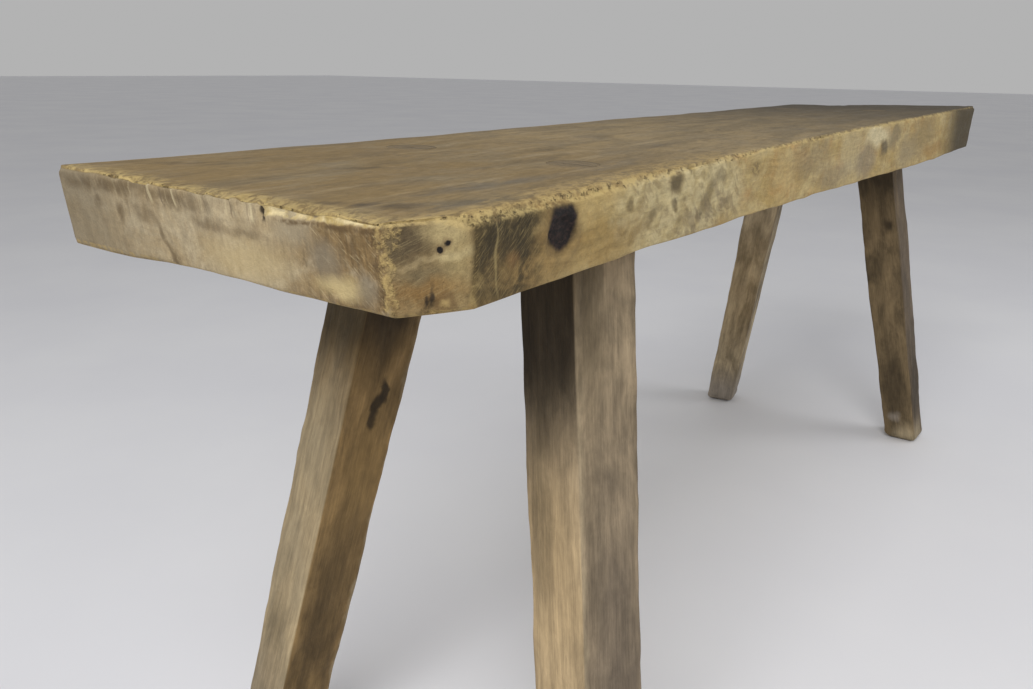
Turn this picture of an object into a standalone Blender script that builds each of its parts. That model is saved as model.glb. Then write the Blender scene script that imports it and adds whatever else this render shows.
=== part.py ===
# Pig bench: a thick plank slab on four splayed legs, staked and wedged.
#
# Units are metres and +Z is up. The origin lies on the floor under the middle
# of the bench. +X runs along the slab towards its plain end, and the clipped
# corner is at the -X end on the front side. The front side faces -Y.

import math

import bmesh
import bpy
import numpy as np
from mathutils import Vector

# Driving dimensions of the slab
bench_height = 0.560
slab_length = 1.466
slab_back = 0.139
front_at_clipped_end = 0.135
front_at_plain_end = 0.182
front_waist = 0.0125
back_waist = 0.011
thick_at_clipped_end = 0.047
thick_at_plain_end = 0.068
clip_across = 0.021
clip_along_top = 0.047
clip_along_bottom = 0.034
clipped_end_undercut = 0.006
plain_end_undercut = 0.028
plain_corner_radius = 0.008
back_corner_radius = 0.006
top_edge_wear = 0.006
bottom_edge_wear = 0.004

# Driving dimensions of the legs
leg_top_width = 0.0595
leg_foot_width = 0.053
leg_chamfer = 0.005
foot_wear = 0.006
clipped_end_overhang = 0.240
plain_end_overhang = 0.248
leg_stance = 0.0805
foot_reach_along = 0.093
foot_reach_across = 0.0893

# Driving dimensions of the wedged joint
tenon_diameter = 0.037
kerf_depth = 0.043
wedge_head = 0.0065
wedge_tip = 0.0015
wedge_side_gap = 0.0008
fit_clearance = 0.0003
cut_overrun = 0.010

# Counts and shares
side_steps = 14
corner_steps = 4
edge_steps = 3
tenon_sides = 28
foot_draw_share = 0.35

# The legs stand at these corners: name, end (-1 clipped, 1 plain), side (1 back,
# -1 front) and the turn of the square section about the upright, in degrees. Their
# widths are shares of the leg widths above, in the same order.
legs = (
    ("clipped_end_back", -1, 1, -15.0),
    ("clipped_end_front", -1, -1, -18.0),
    ("plain_end_back", 1, 1, 8.0),
    ("plain_end_front", 1, -1, -4.0),
)
leg_width_shares = (0.98, 1.03, 0.94, 0.99)


def clear_scene():
    """Remove whatever the file holds, so that the part stands alone."""
    for old in list(bpy.data.objects):
        bpy.data.objects.remove(old, do_unlink=True)


def wood(name, colour, roughness):
    """A plain wood finish in one colour."""
    material = bpy.data.materials.new(name)
    material.use_nodes = True
    shader = material.node_tree.nodes["Principled BSDF"]
    shader.inputs["Base Color"].default_value = (*colour, 1.0)
    shader.inputs["Roughness"].default_value = roughness
    shader.inputs["Metallic"].default_value = 0.0
    return material


def ringed_solid(name, rings, material):
    """A closed solid through rings of points, lowest first, with a flat cap at each end."""
    count = len(rings[0])
    body = bmesh.new()
    rows = [[body.verts.new(point) for point in ring] for ring in rings]
    for lower, upper in zip(rows, rows[1:]):
        for here in range(count):
            after = (here + 1) % count
            body.faces.new((lower[here], lower[after], upper[after], upper[here]))
    body.faces.new(list(reversed(rows[0])))
    body.faces.new(rows[-1])
    bmesh.ops.recalc_face_normals(body, faces=body.faces)
    mesh = bpy.data.meshes.new(name)
    body.to_mesh(mesh)
    body.free()
    mesh.materials.append(material)
    piece = bpy.data.objects.new(name, mesh)
    bpy.context.collection.objects.link(piece)
    return piece


def smooth_rounds(piece, degrees):
    """Shade the gentle turns smooth and leave the arrises sharp."""
    piece.data.shade_smooth()
    piece.data.set_sharp_from_angle(angle=math.radians(degrees))


def boolean(piece, tool, operation):
    """Join or cut a piece with a tool that stays as a hidden guide."""
    tool.hide_render = True
    tool.display_type = "WIRE"
    step = piece.modifiers.new(operation.lower() + " " + tool.name, "BOOLEAN")
    step.operation = operation
    step.solver = "EXACT"
    step.object = tool


def slab_thickness(x):
    """The slab thickens evenly from the clipped end to the plain end."""
    share = x / slab_length + 0.5
    return thick_at_clipped_end + (thick_at_plain_end - thick_at_clipped_end) * share


def underside(x):
    """Height of the slab's underside, a plane that slopes along X."""
    return bench_height - slab_thickness(x)


def slab_outline(drop):
    """The slab's outline seen from above, counter-clockwise, at a depth from 0 (top) to 1."""
    start = -slab_length / 2 + clipped_end_undercut * drop
    stop = slab_length / 2 - plain_end_undercut * drop
    clip_along = clip_along_top + (clip_along_bottom - clip_along_top) * drop

    def front(x):
        share = x / slab_length + 0.5
        straight = front_at_clipped_end + (front_at_plain_end - front_at_clipped_end) * share
        return -straight + front_waist * 4 * share * (1 - share)

    def back(x):
        share = x / slab_length + 0.5
        return slab_back - back_waist * 4 * share * (1 - share)

    def corner(centre, radius, quarter):
        turns = [math.pi / 2 * (quarter + step / corner_steps) for step in range(corner_steps + 1)]
        return [
            (centre[0] + radius * math.cos(turn), centre[1] + radius * math.sin(turn))
            for turn in turns
        ]

    points = []
    for x in np.linspace(start + clip_along, stop - plain_corner_radius, side_steps):
        points.append((x, front(x)))
    round_centre = stop - plain_corner_radius
    points += corner((round_centre, front(round_centre) + plain_corner_radius), plain_corner_radius, -1)[1:]
    round_centre = stop - back_corner_radius
    points += corner((round_centre, back(round_centre) - back_corner_radius), back_corner_radius, 0)
    for x in np.linspace(stop - back_corner_radius, start + back_corner_radius, side_steps)[1:-1]:
        points.append((x, back(x)))
    round_centre = start + back_corner_radius
    points += corner((round_centre, back(round_centre) - back_corner_radius), back_corner_radius, 1)
    points.append((start, front(start) + clip_across))
    return np.array(points)


def inset(points, amount):
    """Move each point of a closed outline inwards by the amount, square to its neighbours."""
    along = np.roll(points, -1, axis=0) - np.roll(points, 1, axis=0)
    inward = np.column_stack((-along[:, 1], along[:, 0]))
    inward /= np.linalg.norm(inward, axis=1)[:, None]
    return points + inward * amount


def make_slab(material):
    """The slab: a stack of outlines, drawn in where the bottom and top edges are worn round."""
    quarter_turns = [math.pi / 2 * step / edge_steps for step in range(edge_steps + 1)]
    rings = []
    for turn in quarter_turns:
        outline = inset(slab_outline(1.0), bottom_edge_wear * (1 - math.sin(turn)))
        lift = bottom_edge_wear * (1 - math.cos(turn))
        heights = [underside(x) + lift for x in outline[:, 0]]
        rings.append(np.column_stack((outline, heights)))
    for turn in reversed(quarter_turns):
        outline = inset(slab_outline(0.0), top_edge_wear * (1 - math.sin(turn)))
        fall = top_edge_wear * (1 - math.cos(turn))
        heights = np.full(len(outline), bench_height - fall)
        rings.append(np.column_stack((outline, heights)))
    slab = ringed_solid("seat_slab", rings, material)
    smooth_rounds(slab, 35.0)
    return slab


class LegLine:
    """The straight centre line of one leg, from its shoulder under the slab to its foot."""

    def __init__(self, end, side):
        overhang = clipped_end_overhang if end < 0 else plain_end_overhang
        from_middle = slab_length / 2 - overhang
        x = end * from_middle
        self.shoulder = Vector((x, side * leg_stance, underside(x)))
        foot_x = from_middle + foot_reach_along
        foot_y = leg_stance + foot_reach_across
        self.foot = Vector((end * foot_x, side * foot_y, 0.0))
        self.up = (self.shoulder - self.foot).normalized()

    def at_height(self, height):
        """The point of the centre line at a height above the floor."""
        return self.foot + self.up * (height / self.up.z)

    def section_axes(self, degrees):
        """Two directions square to the leg, turned about it from the bench's own axes."""
        turn = math.radians(degrees)
        level = Vector((math.cos(turn), math.sin(turn), 0.0))
        first = (level - self.up * level.dot(self.up)).normalized()
        return first, self.up.cross(first)

    def ring(self, offsets, axes, slope, height):
        """Carry a section along the leg to the plane z = height + slope * x."""
        points = []
        for u, v in offsets:
            point = self.foot + axes[0] * u + axes[1] * v
            reach = (height + slope * point.x - point.z) / (self.up.z - slope * self.up.x)
            points.append(point + self.up * reach)
        return points


def square_section(width, chamfer):
    """A square with its four arrises cut off, counter-clockwise."""
    half = width / 2
    near = half - chamfer
    return [
        (half, -near), (half, near), (near, half), (-near, half),
        (-half, near), (-half, -near), (-near, -half), (near, -half),
    ]


def round_section(diameter, sides):
    """A regular many-sided section, counter-clockwise."""
    angles = [math.tau * side / sides for side in range(sides)]
    return [(diameter / 2 * math.cos(angle), diameter / 2 * math.sin(angle)) for angle in angles]


def slab_planes(lower_gap, upper_rise):
    """Slope and height of the underside plane and of the top plane, moved apart or together."""
    slope = -(thick_at_plain_end - thick_at_clipped_end) / slab_length
    return (slope, underside(0.0) - lower_gap), (0.0, bench_height + upper_rise)


def cut_mortise(slab, place, line, material):
    """Bore the slanted mortise for one tenon through the slab."""
    lower, upper = slab_planes(cut_overrun, cut_overrun)
    axes = line.section_axes(0.0)
    section = round_section(tenon_diameter + 2 * fit_clearance, tenon_sides)
    bore = ringed_solid(
        "bore_" + place,
        [line.ring(section, axes, *lower), line.ring(section, axes, *upper)],
        material,
    )
    boolean(slab, bore, "DIFFERENCE")


def wedge_form(name, line, grow, spare, rise, material):
    """The wedge's form: wide across the slab's grain, thick at the head and thin at the tip.

    A cutter for it is grown on its faces, spare at its sides and rises past the slab's top.
    """
    spread, across = line.section_axes(0.0)
    head = line.at_height(bench_height)
    half_chord = math.sqrt((tenon_diameter / 2) ** 2 - (wedge_head / 2) ** 2) - wedge_side_gap
    reach = half_chord + spare
    slant = (wedge_head - wedge_tip) / (2 * kerf_depth)
    tips = []
    heads = []
    for sign, v in ((1, -reach), (1, reach), (-1, reach), (-1, -reach)):
        start = head + across * v + spread * (sign * (wedge_head / 2 + grow))
        run = line.up + spread * (sign * slant)
        tips.append(start - run * (kerf_depth + grow))
        heads.append(start + run * ((bench_height + rise - start.z) / run.z))
    return ringed_solid(name, [tips, heads], material)


def make_leg(place, line, degrees, width_share, material):
    """One leg: a square post, tapered down to a flat foot, a sloping shoulder and a kerfed round tenon."""
    axes = line.section_axes(degrees)
    foot_width = leg_foot_width * width_share
    upper = square_section(leg_top_width * width_share, leg_chamfer)
    lower = square_section(foot_width, leg_chamfer)
    worn = square_section(foot_width - 2 * foot_wear * foot_draw_share, leg_chamfer)
    shoulder, top = slab_planes(fit_clearance, 0.0)
    leg = ringed_solid(
        "leg_" + place,
        [
            line.ring(worn, axes, 0.0, 0.0),
            line.ring(lower, axes, 0.0, foot_wear),
            line.ring(upper, axes, *shoulder),
        ],
        material,
    )
    tenon_axes = line.section_axes(0.0)
    tenon_section = round_section(tenon_diameter, tenon_sides)
    root, _ = slab_planes(cut_overrun, 0.0)
    tenon = ringed_solid(
        "tenon_" + place,
        [line.ring(tenon_section, tenon_axes, *root), line.ring(tenon_section, tenon_axes, *top)],
        material,
    )
    boolean(leg, tenon, "UNION")
    kerf = wedge_form("kerf_" + place, line, fit_clearance, cut_overrun, cut_overrun, material)
    boolean(leg, kerf, "DIFFERENCE")
    smooth_rounds(leg, 35.0)
    return leg


def main():
    clear_scene()
    slab_wood = wood("slab wood", (0.42, 0.29, 0.15), 0.62)
    leg_wood = wood("leg wood", (0.26, 0.18, 0.11), 0.68)
    wedge_wood = wood("wedge wood", (0.30, 0.20, 0.11), 0.66)
    slab = make_slab(slab_wood)
    for (place, end, side, degrees), width_share in zip(legs, leg_width_shares):
        line = LegLine(end, side)
        cut_mortise(slab, place, line, slab_wood)
        make_leg(place, line, degrees, width_share, leg_wood)
        wedge_form("wedge_" + place, line, 0.0, 0.0, 0.0, wedge_wood)


main()
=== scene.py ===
import itertools
import math

import bmesh
import bpy
import numpy as np
from bpy.props import FloatProperty, FloatVectorProperty, IntProperty, PointerProperty
from bpy.types import Operator, Panel, PropertyGroup
from mathutils import Matrix, Vector


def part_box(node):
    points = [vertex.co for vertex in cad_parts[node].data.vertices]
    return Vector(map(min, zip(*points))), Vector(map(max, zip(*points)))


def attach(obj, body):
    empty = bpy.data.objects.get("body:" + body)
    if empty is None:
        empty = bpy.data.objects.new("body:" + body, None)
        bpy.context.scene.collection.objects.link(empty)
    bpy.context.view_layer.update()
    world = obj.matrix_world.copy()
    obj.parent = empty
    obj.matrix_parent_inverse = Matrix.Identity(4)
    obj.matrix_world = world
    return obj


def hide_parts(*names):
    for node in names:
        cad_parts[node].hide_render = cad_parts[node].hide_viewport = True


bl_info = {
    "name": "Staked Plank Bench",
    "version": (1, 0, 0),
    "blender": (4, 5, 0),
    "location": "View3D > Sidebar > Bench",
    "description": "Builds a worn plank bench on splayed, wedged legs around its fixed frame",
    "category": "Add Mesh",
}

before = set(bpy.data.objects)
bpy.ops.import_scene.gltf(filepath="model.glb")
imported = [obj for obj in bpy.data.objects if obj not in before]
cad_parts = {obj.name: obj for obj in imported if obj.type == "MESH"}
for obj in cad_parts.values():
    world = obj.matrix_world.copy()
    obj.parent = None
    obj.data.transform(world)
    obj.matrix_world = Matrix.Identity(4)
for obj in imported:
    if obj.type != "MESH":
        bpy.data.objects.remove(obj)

SLAB_LOW, SLAB_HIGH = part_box("seat_slab")
HEIGHT = SLAB_HIGH.z
LENGTH = SLAB_HIGH.x - SLAB_LOW.x
ORIGIN = (0.0, 0.0, 0.0)
BORE_SIDES = 64
LEG_SIDES = 128
# How far a cutting tool passes the surface that it cuts.
OVERRUN = 0.01
# Distances from the end, from the front side and below the top, well inside the top.
FAR_FROM_EDGES = (0.1, 0.1, 0.0)

# The corners where the legs stand: place, end (-1 clipped, 1 plain), side (1 back,
# -1 front), turn of the square section in degrees, its width and the wear of its
# foot as shares.
LEG_PLACES = (
    ("clipped_end_back", -1, 1, -15.0, 0.98, 1.0),
    ("clipped_end_front", -1, -1, -18.0, 1.03, 1.0),
    ("plain_end_back", 1, 1, 8.0, 0.94, 2.0),
    ("plain_end_front", 1, -1, -4.0, 0.99, 2.2),
)


def length_value(name, default, description):
    """A size in metres that a user can change in the sidebar."""
    return FloatProperty(name=name, description=description, default=default, unit="LENGTH", precision=4)


def place_value(name, default, description):
    """A point in metres that a user can change in the sidebar."""
    return FloatVectorProperty(name=name, description=description, default=default, size=3, unit="LENGTH")


def power_value(name, default, description):
    """A lamp's power in watts that a user can change in the sidebar."""
    return FloatProperty(name=name, description=description, default=default, unit="POWER")


def angle_value(name, degrees, description):
    """An angle that a user can change in the sidebar."""
    return FloatProperty(name=name, description=description, default=math.radians(degrees), subtype="ANGLE")


def colour_value(name, default, description):
    """A linear colour that a user can change in the sidebar."""
    return FloatVectorProperty(
        name=name, description=description, default=default, subtype="COLOR", size=3, min=0.0, max=1.0
    )


class SlabSizes(PropertyGroup):
    """Sizes of the plank."""

    back: length_value("Back", 0.139, "Distance of the back side from the middle line")
    front_clipped: length_value("Front, clipped end", 0.135, "Distance of the front side at the clipped end")
    front_plain: length_value("Front, plain end", 0.182, "Distance of the front side at the plain end")
    front_waist: length_value("Front waist", 0.0125, "How far the front side draws in half way along")
    back_waist: length_value("Back waist", 0.011, "How far the back side draws in half way along")
    thick_clipped: length_value("Thickness, clipped end", 0.047, "Thickness at the clipped end")
    thick_plain: length_value("Thickness, plain end", 0.068, "Thickness at the plain end")
    twist: length_value("Twist", 0.004, "How far the back corner at the clipped end is twisted up")
    droop: length_value("Droop", 0.0025, "How far the clipped end hangs below the rest of the top")
    clip_across: length_value("Clip across", 0.021, "Width of the clipped corner across the slab")
    clip_top: length_value("Clip along, top", 0.047, "Length of the clipped corner along the top")
    clip_bottom: length_value("Clip along, bottom", 0.034, "Length of the clipped corner along the bottom")
    undercut_clipped: length_value("Undercut, clipped end", 0.006, "How far the clipped end leans in below")
    undercut_plain: length_value("Undercut, plain end", 0.028, "How far the plain end leans in below")
    front_corner: length_value("Plain front corner", 0.004, "Corner radius seen from above")
    back_corner: length_value("Back corners", 0.003, "Corner radius seen from above")
    end_wear: length_value("End edge wear", 0.0040, "Radius that wear gave the rims of both ends")
    top_wear: length_value("Top edge wear", 0.0045, "Radius that wear gave the top edges")
    bottom_wear: length_value("Bottom edge wear", 0.0022, "Radius that wear gave the bottom edges")


class LegSizes(PropertyGroup):
    """Sizes of the legs and their wedged joints."""

    top_width: length_value("Width, top", 0.0595, "Width of a leg's square section under the slab")
    foot_width: length_value("Width, foot", 0.053, "Width of a leg's square section on the floor")
    arris: length_value("Arris", 0.0045, "Radius of a leg's worn long edges")
    overhang_clipped: length_value("Overhang, clipped end", 0.240, "Slab end to leg centre")
    overhang_plain: length_value("Overhang, plain end", 0.248, "Slab end to leg centre")
    stance: length_value("Stance", 0.0805, "Leg centre to middle line, under the slab")
    reach_along: length_value("Reach along", 0.093, "How far a foot stands out along the slab")
    reach_across: length_value("Reach across", 0.0893, "How far a foot stands out across the slab")
    foot_wear: length_value("Foot wear", 0.006, "Radius that wear gave the foot")
    tenon: length_value("Tenon", 0.037, "Diameter of the round through tenon")
    gap: length_value("Gap", 0.0003, "Clearance round tenon, shoulder and wedge")
    kerf: length_value("Kerf", 0.043, "Depth of the wedge in its tenon")
    wedge_head: length_value("Wedge head", 0.0065, "Thickness of the wedge at the top")
    wedge_tip: length_value("Wedge tip", 0.0015, "Thickness of the wedge at its tip")
    wedge_side: length_value("Wedge side", 0.0008, "Gap from the wedge's side to the tenon's rim")


class BenchColours(PropertyGroup):
    """Colours of the wood and of the floor."""

    ochre: colour_value("Ochre", (0.370, 0.262, 0.094), "Dry side grain")
    pale: colour_value("Pale", (0.450, 0.348, 0.165), "Bleached side grain")
    sawn: colour_value("Sawn", (0.375, 0.306, 0.195), "Pale sawn end grain")
    grey: colour_value("Grey", (0.182, 0.138, 0.076), "Weathered top grain")
    dark: colour_value("Dark", (0.030, 0.021, 0.013), "Cracks and chips")
    floor: colour_value("Floor", (0.74, 0.74, 0.76), "Plain pale floor")
    floor_cloud: colour_value("Floor clouds", (0.70, 0.70, 0.73), "Slightly darker patches of the floor")


def smooth_step(value, low, high):
    """0 below low, 1 above high and 3t^2 - 2t^3 between them; it falls where low is above high."""
    share = np.clip((value - low) / (high - low), 0.0, 1.0)
    return share * share * (3 - 2 * share)


def hashed(cells, seed):
    """A fixed number from 0 to 1 for each whole-number cell, from shifted and multiplied integers."""
    primes = np.array((374761393, 668265263, 1440662683), np.uint32)
    mixed = (cells.astype(np.int64).astype(np.uint32) * primes).sum(axis=-1, dtype=np.uint32)
    mixed = (mixed + np.uint32(seed * 7919)) * np.uint32(1274126177)
    mixed = (mixed ^ (mixed >> np.uint32(15))) * np.uint32(2246822519)
    return ((mixed ^ (mixed >> np.uint32(13))) & np.uint32(0xFFFF)) / 65535.0


def noise(points, seed):
    """Value noise from -1 to 1: the eight hashed corners of a cell blended by 3t^2 - 2t^3."""
    cell = np.floor(points)
    share = points - cell
    share = share * share * (3 - 2 * share)
    total = np.zeros(points.shape[:-1])
    for corner in itertools.product((0, 1), repeat=3):
        weight = np.where(np.array(corner), share, 1 - share).prod(axis=-1)
        total += weight * hashed(cell + corner, seed)
    return 2 * total - 1


def layered_noise(points, seed, layers=3):
    """Noise summed over layers, each twice as fine and half as strong as the last."""
    return sum(noise(points * 2**layer, seed + layer) / 2**layer for layer in range(layers))


def unit(vectors):
    """Vectors scaled to length 1; a zero vector stays zero."""
    size = np.linalg.norm(vectors, axis=-1, keepdims=True)
    return vectors / np.maximum(size, 1e-12)


def grid_normals(grid):
    """Unit normals of a grid that closes along its second axis: the cross of its two slopes."""
    along = np.gradient(grid, axis=0)
    around = np.roll(grid, -1, axis=1) - np.roll(grid, 1, axis=1)
    return unit(np.cross(around, along))


def mesh_from_grid(name, grid, attributes, cap_ends):
    """A closed mesh: quads between neighbours of the grid, whose second axis closes on itself.

    The attributes are vectors for each point. With cap_ends the first and last rings get a
    flat face each; otherwise these rings have shrunk to a line or a point and are welded.
    """
    rings, around = grid.shape[:2]
    index = np.arange(rings * around).reshape(rings, around)
    after = np.roll(index, -1, axis=1)
    quads = np.stack((index[:-1], after[:-1], after[1:], index[1:]), axis=-1).reshape(-1, 4)
    faces = quads.tolist()
    if cap_ends:
        faces.append(index[0][::-1].tolist())
        faces.append(index[-1].tolist())
    mesh = bpy.data.meshes.new(name)
    mesh.from_pydata(grid.reshape(-1, 3).tolist(), [], faces)
    for key, values in attributes.items():
        layer = mesh.attributes.new(key, "FLOAT_VECTOR", "POINT")
        layer.data.foreach_set("vector", np.ascontiguousarray(values.reshape(-1, 3), np.float32).ravel())
    body = bmesh.new()
    body.from_mesh(mesh)
    bmesh.ops.remove_doubles(body, verts=body.verts, dist=1e-6)
    bmesh.ops.recalc_face_normals(body, faces=body.faces)
    body.to_mesh(mesh)
    body.free()
    mesh.shade_smooth()
    piece = bpy.data.objects.new(name, mesh)
    bpy.context.collection.objects.link(piece)
    return piece


def ringed_solid(name, rings):
    """A plain closed solid through a few rings of points, with a flat cap at each end."""
    grid = np.array([[tuple(point) for point in ring] for ring in rings])
    return mesh_from_grid(name, grid, {}, True)


def cut(piece, tools):
    """Take the tools' forms out of the piece, joined into one mesh, and delete the tools."""
    body = bmesh.new()
    for tool in tools:
        body.from_mesh(tool.data)
    body.to_mesh(tools[0].data)
    body.free()
    step = piece.modifiers.new("cut", "BOOLEAN")
    step.operation = "DIFFERENCE"
    step.solver = "EXACT"
    step.object = tools[0]
    bpy.context.view_layer.objects.active = piece
    bpy.ops.object.modifier_apply(modifier=step.name)
    for tool in tools:
        bpy.data.objects.remove(tool, do_unlink=True)


class SlabForm:
    """The plank as a straight box that is bent to its real outline.

    Inside the box, c runs from -1 (front) to 1 (back) and d from 0 (top) to 1 (bottom).
    The droop and the thickening end at droop_share and thickening_share of the length.
    """

    box_half_width = 0.14
    box_half_depth = 0.028
    droop_share = 0.57
    thickening_share = 0.8
    ridge_softness = 0.0006

    def __init__(self, sizes):
        self.sizes = sizes

    def front(self, x):
        """The front side: a straight taper less a parabola that draws in its middle."""
        share = x / LENGTH + 0.5
        straight = self.sizes.front_clipped * (1 - share) + self.sizes.front_plain * share
        return -straight + self.sizes.front_waist * 4 * share * (1 - share)

    def back(self, x):
        """The back side: a straight line less a parabola."""
        share = x / LENGTH + 0.5
        return self.sizes.back - self.sizes.back_waist * 4 * share * (1 - share)

    def top(self, x, y):
        """Height of the top: twisted in proportion to x and y, and drooping to the clipped end."""
        droop = self.sizes.droop * smooth_step(x / LENGTH + 0.5, self.droop_share, 0.0)
        return HEIGHT - self.sizes.twist * (x / (LENGTH / 2)) * (y / self.sizes.back) - droop

    def under(self, x, y):
        """Height of the underside: the slab thickens smoothly over most of its length."""
        share = smooth_step(x / LENGTH + 0.5, 0.0, self.thickening_share)
        return self.top(x, y) - self.sizes.thick_clipped * (1 - share) - self.sizes.thick_plain * share

    def clipped_end(self, c, d):
        """Where the clipped end lies along X: an undercut plane with one corner cut off.

        The clip is 0 behind the ridge and rises straight before it; (t + sqrt(t^2 + s)) / 2
        rounds that bend.
        """
        sizes = self.sizes
        width = sizes.front_clipped + sizes.back
        to_front = (c + 1) / 2 * width
        to_back = (1 - c) / 2 * width
        clip = 1 - to_front / sizes.clip_across
        clip = (clip + np.sqrt(clip * clip + self.ridge_softness)) / 2
        along = sizes.clip_top + (sizes.clip_bottom - sizes.clip_top) * d
        rounded = self.quarter_round(to_back, sizes.back_corner)
        return -LENGTH / 2 + sizes.undercut_clipped * d + along * clip + rounded

    def plain_end(self, c, d):
        """Where the plain end lies along X: an undercut plane with two rounded corners."""
        sizes = self.sizes
        width = sizes.front_plain + sizes.back
        rounded = self.quarter_round((c + 1) / 2 * width, sizes.front_corner)
        rounded = rounded + self.quarter_round((1 - c) / 2 * width, sizes.back_corner)
        return LENGTH / 2 - sizes.undercut_plain * d - rounded

    @staticmethod
    def quarter_round(distance, radius):
        """How far a corner of this radius falls back at a distance from its side."""
        share = np.clip(1 - distance / radius, 0.0, 1.0)
        return radius * (1 - np.sqrt(1 - share * share))

    def half_section(self, inset, radius_front, radius_back, top_shares, side_shares, arc):
        """The upper half of the box's section, from mid front over the top to mid back.

        Straight sides and top joined by quarter circles. The inset draws all of it in, and
        the radii shrink in proportion. The inset and the radii are columns with one row for
        each ring. Returns y, z and the outward normal.
        """
        half_width = self.box_half_width - inset
        half_depth = self.box_half_depth - inset
        front = radius_front * (1 - inset / self.box_half_depth)
        back = radius_back * (1 - inset / self.box_half_depth)
        turn = arc[None, :] * math.pi / 2
        rows = np.ones_like(inset)
        y = np.concatenate((
            -half_width * np.ones_like(side_shares)[None, :],
            -half_width + front * (1 - np.cos(turn)),
            -half_width + front + (2 * half_width - front - back) * top_shares[None, :],
            half_width - back * (1 - np.sin(turn)),
            half_width * np.ones_like(side_shares)[None, :],
        ), axis=1)
        z = np.concatenate((
            (half_depth - front) * side_shares[None, :],
            half_depth - front * (1 - np.sin(turn)),
            half_depth * np.ones_like(top_shares)[None, :],
            half_depth - back * (1 - np.cos(turn)),
            (half_depth - back) * side_shares[None, ::-1],
        ), axis=1)
        flat_side = np.zeros_like(side_shares)[None, :]
        flat_top = np.zeros_like(top_shares)[None, :]
        normal_y = rows * np.concatenate(
            (flat_side - 1, -np.cos(turn), flat_top, np.sin(turn), flat_side + 1), axis=1
        )
        normal_z = rows * np.concatenate(
            (flat_side, np.sin(turn), flat_top + 1, np.cos(turn), flat_side), axis=1
        )
        return y, z, normal_y, normal_z

    def bend(self, y, z, share, end_offset):
        """Carry points of the box to the real slab: x between its ends, y between its sides."""
        c = y / self.box_half_width
        d = 0.5 - z / (2 * self.box_half_depth)
        start = self.clipped_end(c, d)
        stop = self.plain_end(c, d)
        x = (start + end_offset) * (1 - share) + (stop - end_offset) * share
        real_y = self.front(x) + (self.back(x) - self.front(x)) * (c + 1) / 2
        thickness = self.top(x, real_y) - self.under(x, real_y)
        real_z = self.top(x, real_y) - thickness * d
        return np.stack((x, real_y, real_z), axis=-1), x - start, thickness * d


def runs(table):
    """Places from 0 to 1 along a line, spaced as the table of (length, step) runs says."""
    places = [0.0]
    for length, step in table:
        count = max(1, round(length / step))
        places += [places[-1] + length * (n + 1) / count for n in range(count)]
    places = np.array(places)
    return places / places[-1]


def oval(points, centre, radii):
    """Distance from a centre, in radii: 0 there and 1 on the oval's rim."""
    return np.linalg.norm((points - np.array(centre)) / np.array(radii), axis=-1)


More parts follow.
